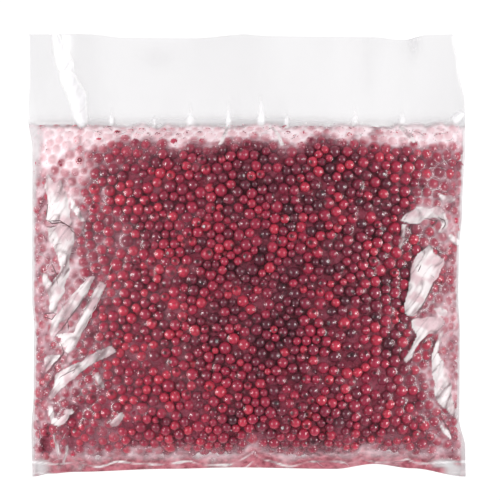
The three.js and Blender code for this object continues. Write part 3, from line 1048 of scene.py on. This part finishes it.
# The least that is left of each amount, and how much the noise adds
VEIL_BREAK, PATCH_BREAK, HEADER_BREAK = (0.35, 1.3), (0.45, 1.1), (0.2, 1.6)
MARGIN_BREAK, JUICE_BREAK, TOUCH_BREAK = (0.6, 0.8), (0.8, 0.4), (0.45, 0.8)
MOST_VEIL, MOST_HAZE = 0.95, 0.96
SCALLOP, SCALLOP_PITCH, SCALLOP_SEED = 3.4, 12.0, 35  # how far its inner edge wanders along the top
# The weld's inner edge along the bottom: its level, how far it wanders and over what length
WELD_LINE, WELD_WANDER, WELD_PITCH, WELD_SEED = -146.0, 2.6, 15.0, 41
# Its peaks. Each: x, height and half width
WELD_PEAKS = ((4.2, 7.5, 5.0), (80.5, 5.0, 6.0), (112.7, 4.0, 6.0), (-40, 2.5, 9.0))
# Patches of frost: centre x and y, half width and half height, and how much milk
PATCHES = (
    (-136, 74, 15, 18, 0.36), (-114, 80, 16, 8, 0.28), (-147, 96, 9, 10, 0.3), (128, 84, 16, 6, 0.35),
    (-122, 40, 8, 16, 0.35), (-121, 0, 8, 22, 0.25), (-124, -50, 10, 28, 0.18),
    (128, 28, 14, 15, 0.27), (124, -48, 12, 10, 0.35), (136, -90, 8, 20, 0.25),
    (-141, -133, 7, 12, -0.55), (-122, -135, 9, 9, -0.2),
    (-130, 72, 6, 4, 0.35), (-121, 63, 6, 5, 0.35), (-113, 55, 4, 5, 0.30),
    (-120, -116, 13, 13, -0.22), (-118, 60, 15, 14, 0.14), (124, -84, 13, 15, 0.18),
)
# Painted light and shade of the header, as more or less grey milk: centre x and y, half width and half
# height, and how much milk more or less. The long band at y 94 is painted shade where the film bends down
# from the filling.
HEADER_SHADES = (
    (-63, 140, 13, 9, 0.16), (117.5, 149, 5, 11, 0.30), (68, 140, 8, 18, -0.12),
    (100, 130, 7, 24, -0.12), (85, 128, 5, 28, 0.07), (-146, 126, 9, 30, 0.08),
    (0, 94, 200, 4.0, 0.30), (-108, 120, 8, 26, 0.05),
)
HEADER_MILK = 0.14
# Painted upright bands of light and shade above the filling, as more or less milk
FOOT_SHADING, FOOT_REACH = 0.07, 35  # upright shades above the filling, and how far up they go
MARGIN_MILK, EAR_MILK = 0.60, 0.35  # more than in the header, because the filling is near
# Clear margin of film beside the filling, along the left and the right side: (y, width)
LEFT_MARGIN = ((-156, 2.0), (40, 2.4), (62, 5.5), (92, 9.0), (156, 9.0))
RIGHT_MARGIN = ((-156, 2.6), (-60, 1.6), (60, 2.0), (156, 2.6))
# Clear film at the lower corners: centre x and y, half width and half height
EARS = ((-149, -149, 9, 6.5), (147, -152, 8, 5), (138, -146, 8, 3))


# %% Milk over the filling and in the header
def blot(x, y, wide, tall, power=2):
    """Soft spot on the film: exp(-(across / wide)^power - (along / tall)^power)."""
    return np.exp(-(((film_x - x) / wide) ** power) - ((film_y - y) / tall) ** power)


def weld_line(x):
    """Level of the weld's inner edge: soft noise along x, and peaks, height * exp(-|x - peak| / wide)."""
    level = WELD_LINE + WELD_WANDER * swing(cloud(x, 0 * x, WELD_PITCH, WELD_SEED))
    return level + sum(height * np.exp(-np.abs(x - peak) / wide) for peak, height, wide in WELD_PEAKS)


def veil_share():
    """Milk across and along, each letting 1 - share through, and broken up by noise of three sizes."""
    scallop = SCALLOP * swing(across_film(SCALLOP_PITCH, SCALLOP_SEED))
    shift = np.where(film_y > 0, scallop, WELD_LINE - weld_line(film_x))
    clear = (1 - through(VEIL_ACROSS, film_x)) * (1 - through(VEIL_ALONG, film_y + shift))
    broken = BROAD_SHARE * over_film(*BROAD_NOISE) + FOLD_SHARE * along_folds(*FOLD_NOISE)
    broken += FINE_SHARE * over_film(*FINE_NOISE)
    bloom = BLOOM * ease((over_film(*BLOOM_NOISE) - BLOOM_START) / BLOOM_SOFT)
    return np.clip((1 - clear) * varied(*VEIL_BREAK, broken) + bloom + patches(), 0, MOST_VEIL)


def patches():
    """Soft patches of frost: the sum of their blots, broken up along the folds."""
    share = np.zeros(film_x.shape)
    for *place, strength in PATCHES:
        share += strength * blot(*place)
    return share * varied(*PATCH_BREAK, along_folds(*PATCH_NOISE)) * in_fill


def header_share():
    """Base share of milk in the header, with painted upright bands of shade at its foot, and each blot of
    painted light or shade more or less.
    """
    share = HEADER_MILK * varied(*HEADER_BREAK, cloud(film_x, film_y / HEADER_TALL, *HEADER_NOISE))
    upright = FOOT_SHADING * swing(cloud(film_x, film_y / FOOT_TALL, *FOOT_NOISE))
    share += upright * ease(1 - (film_y - HEADER_FOOT) / FOOT_REACH)
    for *place, amount in HEADER_SHADES:
        share += amount * blot(*place)
    return np.clip(share, 0, 1)


# %% Film with nothing behind it
# Upper edge of the juice: level, soft edge, and how far it wanders: (distance, pitch, seed)
JUICE_TOP, JUICE_SOFT, JUICE_WANDER = 88.5, 4.5, ((1.6, 9, 43), (0.8, 3.5, 44))
MARGIN_EDGE, MARGIN_SHARE, EAR_SHARE = 1.5, 0.8, 0.85


def empty_film():
    """Where no juice lies behind the film: the header, a margin along each side, and the corners."""
    wander = sum(far * swing(across_film(pitch, seed)) for far, pitch, seed in JUICE_WANDER)
    top = ease((film_y + wander - JUICE_TOP) / JUICE_SOFT)
    rough = varied(*MARGIN_BREAK, over_film(*MARGIN_NOISE))
    left = ease(MARGIN_EDGE - film_u * BAG_WIDTH / (through(LEFT_MARGIN, film_y) * rough))
    right = ease(MARGIN_EDGE - (1 - film_u) * BAG_WIDTH / (through(RIGHT_MARGIN, film_y) * rough))
    ears = sum(blot(*ear, power=4) for ear in EARS)
    return top, MARGIN_SHARE * np.maximum(left, right) * (1 - top), np.clip(EAR_SHARE * ears, 0, 1)


film_top, margin, ears = empty_film()
in_header = np.maximum(np.maximum(film_top, margin), ears)
haze = veil_share() * (1 - in_header)
haze += (header_share() + MARGIN_MILK * margin + EAR_MILK * ears) * in_header
haze = np.clip(haze, 0, MOST_HAZE)

# %% Juice, touching berries and white places
# Pink juice in the fin: how far above the weld's edge it starts, and over what length
JUICE_ABOVE, JUICE_BLEND = 9, 8
under_weld = weld_line(film_x) - film_y
juice = ease((under_weld + JUICE_ABOVE) / JUICE_BLEND) * varied(*JUICE_BREAK, over_film(*JUICE_NOISE))
juice = np.clip(juice, 0, 1) * (film_y < 0)

# Frost takes up the colour of a berry close behind the film, and thick frost from further off
TOUCH_GAP, TOUCH_MOST, NO_BERRY = 0.95, 1.45, 9
gap_below = np.where(resting > NOTHING, draped - resting, NO_BERRY)
touch = np.exp(-((gap_below / (TOUCH_GAP * (1 + haze**2))) ** 2)) * (TOUCH_MOST - haze)
touch = np.clip(touch * varied(*TOUCH_BREAK, over_film(*TOUCH_NOISE)), 0, 1) * (1 - in_header)

# Painted highlights on crests in the weld: how far below its edge, their half width, and how white
CRESTS_DOWN, CREST_WIDTH, CREST_HIGHLIGHT = (0.3, 8.0), 0.8, 0.45
crests = sum(np.exp(-(((under_weld - down) / CREST_WIDTH) ** 2)) for down in CRESTS_DOWN)
weld_highlight = CREST_HIGHLIGHT * crests * over_film(*CREST_NOISE)

# Painted shading of the white places: its base lightness, painted shade in a crease, and lighter or darker
# along the folds
SHADE, SHADE_CREASE, SHADE_STREAK = 0.78, 0.42, 0.7
CREASE_START, CREASE_SOFT = 0.80, 0.2
in_crease = ease((crinkle - CREASE_START) / CREASE_SOFT)
grain_streaks = along_folds(*STREAK_NOISE)
shade = np.clip(SHADE - SHADE_CREASE * in_crease + SHADE_STREAK * (grain_streaks - 0.5), 0, 1)

# The margins turn whiter towards the header: how white, from where, and over what length
MARGIN_WHITE, MARGIN_FROM, MARGIN_SOFT = 0.12, 45, 15
# White places: painted highlights of facets, folds, header streaks, puckers and weld crests, and the
# margins turned whiter
white = np.maximum(fold_highlight * in_fill, header_highlight * in_header)
white = np.maximum(white, weld_highlight * (film_y < 0))
white = np.maximum(white, MARGIN_WHITE * margin * ease((film_y - MARGIN_FROM) / MARGIN_SOFT))
print(f"veil: {100 * haze[in_fill].mean():.0f} % milk over the filling")


# %% Film finish
# Share of light that film mirrors head on. At a slant it is this much plus the rest times (1 -
# cosine)^5, which is Schlick's short form of the Fresnel law. It is the same from both sides, so no
# film looks like metal from within.
HEAD_ON = 0.03
# (share of milk, its colour)
VEIL_COLOURS = (
    (0.04, (0.45, 0.10, 0.16)), (0.30, (0.60, 0.27, 0.34)), (0.60, (0.72, 0.46, 0.51)),
    (0.95, (0.98, 0.84, 0.87)),
)
TOUCH_COLOUR, TOUCH_SHARE = (0.50, 0.045, 0.090), 0.8
FIN_DARK, FIN_PALE = (0.27, 0.040, 0.067), (0.58, 0.170, 0.215)
# The header's grey milk, which also paints its light and shade, and the white of painted highlights over
# empty film
HEADER_COLOUR, EMPTY_WHITE_COLOUR = (0.70, 0.69, 0.70), (0.97, 0.96, 0.97)
# Painted highlight of facets and folds: from its painted shade to its lit colour, with pink patches
FACET_SHADE_COLOUR, FACET_HIGHLIGHT_COLOUR, FACET_PINK = (0.24, 0.15, 0.165), (0.87, 0.80, 0.80), (0.70, 0.50, 0.53)
CLEAR_COLOUR, MIRROR_COLOUR = (0.950, 0.946, 0.950), (1, 1, 1)
# Streaks vary the lightness of the painted highlights, and white places, painted highlights mostly, hide
# some of what is behind them
FROST_SHARE, STREAK_LIGHT = 0.4, 0.9  # how much frost and streaks change the film from place to place
WHITE_COVER, LIGHT_COVER = 0.6, 0.5  # how much of a white place hides what is behind it


def clear_film():
    """Clear film and its mirror, mixed by the slant, then as much milk over both as the mesh carries,
    painted highlights and shade included.
    """
    finish = Finish("clear_film")
    haze, white, header = finish.carried("haze"), finish.carried("white"), finish.carried("header")
    frost = finish.clamp(0.5 * finish.speckle(330, 4) + 0.5 * finish.speckle(110, 3), 0.34, 0.66)
    streak = finish.speckle(420, 4, 4.0, GRAIN_TURN)
    milk = haze * (1 + (1 - header) * FROST_SHARE * (frost - 0.5))
    veil = finish.node("ValToRGB", {"stops": VEIL_COLOURS}, {"Fac": haze})
    veil = finish.blend(TOUCH_SHARE * finish.carried("touch"), veil, TOUCH_COLOUR)
    tint = finish.blend(finish.carried("juice"), veil, finish.blend(frost, FIN_DARK, FIN_PALE))
    tint = finish.blend(header, tint, HEADER_COLOUR)
    # Painted shading of the white places, streaked along the folds, picks between the facets' painted shade
    # and painted highlight
    light = finish.clamp(finish.carried("shade") + STREAK_LIGHT * (streak - 0.5))
    blush = finish.clamp(finish.speckle(75, 2), 0.46, 0.62)
    facet = finish.blend(light, FACET_SHADE_COLOUR, finish.blend(blush, FACET_HIGHLIGHT_COLOUR, FACET_PINK))
    bare = finish.blend(header, facet, EMPTY_WHITE_COLOUR)
    tint = finish.blend(finish.clamp(white, 0.0, 0.25), tint, bare)
    height = finish.speckle(150, 3)
    wrinkle = finish.node("Bump", {}, {"Strength": 0.3, "Distance": 0.0006, "Height": height})
    clear = finish.node("BsdfTransparent", {}, {"Color": CLEAR_COLOUR})
    mirror = finish.node("BsdfPrincipled", {}, {
        "Base Color": MIRROR_COLOUR, "Metallic": 1.0, "Roughness": 0.25, "Normal": wrinkle,
    })
    facing = finish.node("LayerWeight", {}, {"Blend": 0.5, "Normal": wrinkle}, "Facing")
    gloss = HEAD_ON + (1 - HEAD_ON) * finish.maths("POWER", facing, 5.0)
    glossy = finish.node("MixShader", {}, {0: gloss, 1: clear, 2: mirror})
    milky = finish.node("BsdfPrincipled", {}, {"Base Color": tint, "Roughness": 0.5, "Normal": wrinkle})
    cover = finish.clamp(milk + white * (WHITE_COVER + LIGHT_COVER * light))
    return finish.surface(finish.node("MixShader", {}, {0: cover, 1: glossy, 2: milky}))


# %% The film's mesh
def film_skin(upper, lower):
    """Closed skin of a fine sheet over one with half its rows and columns, with triangles between."""
    fine = np.arange(upper[..., 0].size).reshape(upper.shape[:2])
    coarse = np.arange(lower[..., 0].size).reshape(lower.shape[:2]) + fine.size
    outer, inner = ring_of(fine), ring_of(coarse)
    p, q, r = outer[0::2], outer[1::2], np.roll(outer[0::2], -1)
    a, b = inner, np.roll(inner, -1)
    rim = np.concatenate([np.stack(three, 1) for three in ((a, b, q), (a, q, p), (b, r, q))])
    points = np.concatenate([upper.reshape(-1, 3), lower.reshape(-1, 3)])
    return points, [sheet_of(fine), sheet_of(coarse)[:, ::-1], rim]


film_points, film_faces = film_skin(np.stack([film_x, film_y, draped], -1),
                                    np.stack([film_x, film_y, back_sheet], -1)[::2, ::2])
maps = {
    "haze": haze, "white": white, "shade": shade, "header": in_header, "juice": juice, "touch": touch,
}
carried = {
    name: np.concatenate([values.ravel(), values[::2, ::2].ravel()]) for name, values in maps.items()
}
film = make_piece("film", film_points, film_faces, clear_film(), carried)
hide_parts(BAG)

# %% [markdown]
# ## Pleats
# Where the film doubles over, a pleat less than a millimetre wide stands up. Some are painted dark,
# as the shade in the fold, and others painted pale, as a highlight where they catch the light. They
# are far finer than the film's own mesh, so each is a thin tube laid along the film, pointed at both
# ends. The main ones are placed one by one, the rest are strewn.

# %% Pleats
# Each: how dark its painted shade is (0 paints it pale, as a highlight), and a line of (x, y)
PLEATS = (
    (1, ((-140, 24.8), (-137.9, 24.1), (-135.1, 22), (-128.8, 22.8), (-121.1, 19.2))),
    (1, ((-139.3, 20.6), (-135.8, 19.7), (-132.3, 20.6))),
    (1, ((-138.6, 36.8), (-140, 28.3), (-140, 24.8))),
    (1, ((-137.9, 24.1), (-129.5, 24.1), (-123.2, 19.7))),
    (0.7, ((-123.2, 19.2), (-119.7, 15.7), (-119, 12.2))),
    (0.7, ((-111.3, 24.1), (-113.4, 19.2), (-115.5, 14.3))), (1, ((-141.4, -40.2), (-133, -40.2))),
    (1, ((-142.1, -42.3), (-135.1, -44.4), (-132.3, -40.2))),
    (0.8, ((-135.1, -58.4), (-127.4, -48.6), (-118.3, -37.4), (-112.7, -29))),
    (0.9, ((-124.6, -44.4), (-123.9, -51.4))),
    (0.9, ((-130.2, -59.8), (-126.7, -66.8), (-139.3, -82.2))), (0, ((-95.2, -10.8), (-93.1, -6.6))),
    (0, ((-147, 1), (-142.1, 0.3), (-138.6, -3.8))),
    (1, ((133, 26.9), (136.5, 24.8), (138.2, 21.3), (135.8, 17.8))),
    (0.9, ((122.5, 26.2), (132.3, 24.1), (128.1, 19.2))), (1, ((118.6, -11.5), (120.4, -6.6))),
    (0, ((135.8, -54.2), (133, -64), (128.8, -73.8))),
    (0.9, ((133.7, -109.5), (138.6, -117.9), (143.5, -126.3))),
    (0, ((-134.5, -124.8), (-133, -133.3), (-131.6, -143.1))),
    (0, ((-125.3, -134.4), (-126.7, -140.3), (-128.8, -147.3))),
    (0, ((-97.3, -19.2), (-103.6, -33.2), (-110.6, -46.5), (-119, -63.3))),
    (0.8, ((113.4, -42.3), (119.7, -37.4), (126, -28.3), (130.9, -17.8))),
    (0.8, ((-135.8, -4.5), (-132.3, -13.6), (-130.9, -19.9))),
    (0.7, ((-130.9, -85.8), (-123.9, -80.8), (-114.1, -75.9))),
)

# %% Tubes along the film
PLEAT_STEP, PLEAT_RADIUS = 0.8, 0.34
PLEAT_WANDER, PLEAT_PITCH, PLEAT_SEEDS = 0.5, 3.0, (51, 52)
FEWEST_RINGS, TIP_SHARE, PLEAT_LIFT = 4, 0.02, 0.5  # rings of a tube, its tips, and how far it stands up
# Fine wrinkles: how many, lowest and highest x and y, the way they run, and how far they stray
WRINKLES = (
    (34, (-118, 150), (80, 91), 0.05, 0.35), (16, (-149, -118), (-140, 70), GRAIN_TURN, 0.5),
    (14, (120, 149), (-140, 74), math.pi - GRAIN_TURN, 0.6), (14, (-140, 140), (-146, -142), 0.0, 0.5),
)
WRINKLE_RADIUS = 0.17
WRINKLE_POINTS, WRINKLE_STEP, WRINKLE_BEND = 5, (0.8, 2.4), 0.12
# How dark each strewn wrinkle's painted shade is; 0 paints it pale, as a highlight
WRINKLE_SHADES = (0.0, 0.1, 0.7)  # each wrinkle has one of these
LAST_SPACE = 0.01  # holds a point at the far edge inside the last space


def film_height(x, y):
    """Height of the draped film at any points."""
    u, v = places(x, y)
    column = np.clip(u * FILM_COLUMNS, 0, FILM_COLUMNS - LAST_SPACE)
    row = np.clip(v * FILM_ROWS, 0, FILM_ROWS - LAST_SPACE)
    return between_four(draped, column, row)


def thin_tube(line, radius):
    """A four-sided tube along a line on the film. Its radius is that stated times sin(pi * share)^(1/2)."""
    at = np.array(line, float)
    length = np.concatenate([[0], np.cumsum(np.hypot(*np.diff(at, axis=0).T))])
    share = np.linspace(0, 1, max(FEWEST_RINGS, int(length[-1] / PLEAT_STEP)))
    x, y = (np.interp(share * length[-1], length, values) for values in at.T[:2])
    x = x + PLEAT_WANDER * swing(cloud(x, y, PLEAT_PITCH, PLEAT_SEEDS[0]))
    y = y + PLEAT_WANDER * swing(cloud(x, y, PLEAT_PITCH, PLEAT_SEEDS[1]))
    run = np.stack([np.gradient(x), np.gradient(y)])
    side = np.stack([-run[1], run[0]]) / np.hypot(*run)
    thick = radius * np.sqrt(np.sin(np.pi * np.clip(share, TIP_SHARE, 1 - TIP_SHARE)))
    height = film_height(x, y) + PLEAT_LIFT * thick
    rings = [np.stack([x + a * side[0] * thick, y + a * side[1] * thick, height + b * thick], 1)
             for a, b in ((1, 0), (0, 1), (-1, 0), (0, -1))]
    return np.stack(rings, 1)


def strewn_lines():
    """Short arcs at random: each starts at a random place and turns a little as it goes on."""
    lines = []
    for count, across, along, way, stray in WRINKLES:
        for _ in range(count):
            x, y = chance.uniform(*across), chance.uniform(*along)
            rank = np.arange(WRINKLE_POINTS)[:, None]
            steps = rank * chance.uniform(*WRINKLE_STEP)
            turn = way + chance.normal(0, stray) + rank * chance.normal(0, WRINKLE_BEND)
            line = np.concatenate([x + steps * np.cos(turn), y + steps * np.sin(turn)], 1)
            lines.append((chance.choice(WRINKLE_SHADES), line))
    return lines


# %% All pleats as one mesh
def pleat_mesh():
    """All tubes as one mesh, with how dark the painted shade of each is."""
    points, quads, dark, start = [], [], [], 0
    tubes = [(darkness, thin_tube(line, PLEAT_RADIUS)) for darkness, line in PLEATS]
    tubes += [(darkness, thin_tube(line, WRINKLE_RADIUS)) for darkness, line in strewn_lines()]
    for darkness, rings in tubes:
        count = rings.shape[0] * 4
        index = start + np.arange(count).reshape(-1, 4)
        beside = np.roll(index, -1, axis=1)
        walls = np.stack([index[:-1], beside[:-1], beside[1:], index[1:]], -1).reshape(-1, 4)
        quads += [walls, index[:1, ::-1], index[-1:]]
        points.append(rings.reshape(-1, 3))
        dark.append(np.full(count, darkness))
        start += count
    return np.concatenate(points), [np.concatenate(quads)], np.concatenate(dark)


# Painted highlight and painted shade of the pleats, and the pink of juice in them
PLEAT_HIGHLIGHT, PLEAT_SHADE, PLEAT_PINK = (0.62, 0.52, 0.53), (0.085, 0.030, 0.038), (0.42, 0.20, 0.24)
PINK_SHARE = 0.35


def pleat_finish():
    """Painted highlight or painted shade, as each pleat carries it, with patches of pink juice."""
    finish = Finish("pleat_film")
    patch = finish.speckle(260, 3)
    colour = finish.blend(finish.carried("dark"), PLEAT_HIGHLIGHT, PLEAT_SHADE)
    colour = finish.blend(PINK_SHARE * finish.clamp(patch, 0.4, 0.7), colour, PLEAT_PINK)
    return finish.surface(finish.node("BsdfPrincipled", {}, {
        "Base Color": colour, "Roughness": 0.3 + 0.2 * patch,
    }))


pleat_points, pleat_faces, pleat_shade = pleat_mesh()
make_piece("pleats", pleat_points, pleat_faces, pleat_finish(), {"dark": pleat_shade})

# %% [markdown]
# ## Ice crumbs and specks
# Along the outline, crumbs of pink ice lie under the film, and dark bits of leaf and dry skin are
# strewn over the whole filling. Each is a lumpy grain about a millimetre across, pressed between
# film and berries.

# %% Crumbs
GRAIN_OUTLINE = ((0, 1), (0.8, 0.45), (0.9, -0.4), (0, -1))
GRAIN_SEGMENTS = 5
STREW, UNDER_FILM = 0.6, 0.45  # how far a grain strays from its film point, and how far below it lies
CRUMB_SIDE, CRUMB_END = 3, 2  # room between crumbs and the outline
# Each kind: how many, and its smallest and largest radius
ICE_GRAINS, SPECK_GRAINS = (2600, 0.25, 0.75), (1500, 0.18, 0.5)
ICE_BASE, SPECK_BASE, SPECK_EDGE = 0.02, 0.4, 25  # least weight of each, and where specks gather
ICE_DARK, ICE_PALE = (0.70, 0.34, 0.42), (0.92, 0.78, 0.82)
LEAF_DARK, LEAF_PALE = (0.035, 0.014, 0.016), (0.13, 0.05, 0.04)


def strewn(count, weight):
    """Random places just under the film, more of them where the weight is greater."""
    chosen = chance.choice(weight.size, count, p=(weight / weight.sum()).ravel())
    x, y = film_x.ravel()[chosen], film_y.ravel()[chosen]
    x, y = x + chance.uniform(-STREW, STREW, count), y + chance.uniform(-STREW, STREW, count)
    return np.stack([x, y, draped.ravel()[chosen] - UNDER_FILM], 1)


def grains(name, kind, weight, material):
    """One mesh of many grains. Its three radii are each drawn between the smallest and the largest."""
    count, smallest, largest = kind
    points, quads, caps = turned(GRAIN_OUTLINE, GRAIN_SEGMENTS)
    sizes = chance.uniform(smallest, largest, (count, 1, 3))
    made, blocks = copies(points, (quads, caps), strewn(count, weight), sizes, random_turns(count))
    make_piece(name, made, blocks, material)


def grain_finish(name, dark, pale, roughness):
    """Two tones of one stuff, mixed by noise."""
    finish = Finish(name)
    colour = finish.blend(finish.speckle(500, 3), dark, pale)
    return finish.surface(finish.node("BsdfPrincipled", {}, {
        "Base Color": colour, "Roughness": roughness,
    }))


roomy = in_fill & (to_side > CRUMB_SIDE) & (to_end > CRUMB_END)
ice_weight = roomy * (ICE_BASE + veil_share() ** 2)
speck_weight = roomy * (SPECK_BASE + ease(1 - to_outline / SPECK_EDGE))
ice = grain_finish("ice", ICE_DARK, ICE_PALE, 0.35)
leaf = grain_finish("leaf", LEAF_DARK, LEAF_PALE, 0.7)
grains("ice_crumbs", ICE_GRAINS, ice_weight, ice)
grains("specks", SPECK_GRAINS, speck_weight, leaf)

# %% [markdown]
# ## Floor, light and camera
# The bag lies on a white light table, so it throws hardly any shadow. A tall soft box stands at its
# left and one at its right. They are strong, because clear film and wet skins mirror only a few
# hundredths of the light, and each berry still shows a spot of it. Two wide, faint boxes at the
# head and the foot fill the gaps between the berries.

# %% Floor
FLOOR_HALF, FLOOR_DROP = 2000.0, 0.6
TABLE_GLOW, GLOW_SHARE = 1.12, 0.85
TABLE_DIM, TABLE_PALE, WHITE = (0.86, 0.86, 0.865), (0.90, 0.90, 0.90), (1, 1, 1)


def table_top():
    """A pale sheet, mixed with a white glow from below."""
    finish = Finish("table_top")
    colour = finish.blend(finish.speckle(3, 2), TABLE_DIM, TABLE_PALE)
    sheet = finish.node("BsdfPrincipled", {}, {"Base Color": colour, "Roughness": 0.8})
    glow = finish.node("Emission", {}, {"Color": WHITE, "Strength": TABLE_GLOW})
    return finish.surface(finish.node("MixShader", {}, {0: GLOW_SHARE, 1: sheet, 2: glow}))


square = np.array([[-1, -1, 0], [1, -1, 0], [1, 1, 0], [-1, 1, 0]])
corners = square * FLOOR_HALF + [0, 0, -FLOOR_DROP]
floor_mesh = bpy.data.meshes.new("table")
floor_mesh.from_pydata((corners * MM).tolist(), [], [[0, 1, 2, 3]])
floor_mesh.materials.append(table_top())
floor = bpy.data.objects.new("table", floor_mesh)
bpy.context.scene.collection.objects.link(floor)
print(f"table: {2 * FLOOR_HALF * MM:.0f} m wide, {FLOOR_DROP} mm under the bag")

# %% Light
# Each: name, place, the point that it faces (both in metres), size, watts, spread of its beam, and
# whether glossy skins mirror it. The boxes at head and foot are wide and faint fills, and show no
# outline of their own.
BOXES = (
    ("left_box", (-0.46, -0.02, 0.34), (-0.115, -0.02, 0), (0.22, 0.95), 0.58, 38, True),
    ("right_box", (0.46, -0.02, 0.34), (0.115, -0.02, 0), (0.22, 0.95), 0.52, 38, True),
    ("head_box", (0, 0.85, 0.50), (0, 0, 0), (0.7, 1.2), 2.8, 180, False),
    ("foot_box", (0, -0.85, 0.50), (0, 0, 0), (0.7, 1.2), 2.2, 180, False),
)
STUDIO_COLOUR, STUDIO_STRENGTH = (0.96, 0.95, 1.0, 1), 0.25


def soft_box(name, place, aim, size, watts, spread, mirrored):
    """A lamp as large as stated, facing a point of the bag. A narrow beam lights its own side only."""
    lamp = bpy.data.lights.new(name, "AREA")
    lamp.shape, lamp.energy, lamp.spread = "RECTANGLE", watts, math.radians(spread)
    lamp.size, lamp.size_y = size
    made = bpy.data.objects.new(name, lamp)
    made.location = place
    made.visible_glossy = mirrored
    made.rotation_euler = (Vector(place) - Vector(aim)).to_track_quat("Z", "X").to_euler()
    bpy.context.scene.collection.objects.link(made)


for box in BOXES:
    soft_box(*box)
world = bpy.data.worlds.new("studio")
world.use_nodes = True
background = world.node_tree.nodes["Background"].inputs
background["Color"].default_value = STUDIO_COLOUR
background["Strength"].default_value = STUDIO_STRENGTH
bpy.context.scene.world = world
bpy.context.scene.view_settings.view_transform = "Standard"
print(f"{len(BOXES)} soft boxes, {sum(box[4] for box in BOXES):.1f} W in all")

# %% [markdown]
# ## Camera
# The bag is seen from straight above. A long lens from far off shows hardly any of its sides, as
# the real view does.

# %% Camera
VIEW_WIDTH = 350.0  # of the table, in the picture
VIEW_CENTRE = (2.1, 3.85)
CAMERA_HEIGHT = 1600.0
VIEW_LEVEL = 12.0  # height at which the view is as wide as stated
SENSOR_WIDTH = 36.0

camera_data = bpy.data.cameras.new("camera")
camera_data.sensor_width = SENSOR_WIDTH
camera_data.lens = SENSOR_WIDTH * (CAMERA_HEIGHT - VIEW_LEVEL) / VIEW_WIDTH
camera = bpy.data.objects.new("camera", camera_data)
camera.location = (VIEW_CENTRE[0] * MM, VIEW_CENTRE[1] * MM, CAMERA_HEIGHT * MM)
bpy.context.scene.collection.objects.link(camera)
bpy.context.scene.camera = camera
print(f"camera: {camera_data.lens:.0f} mm lens, straight above")
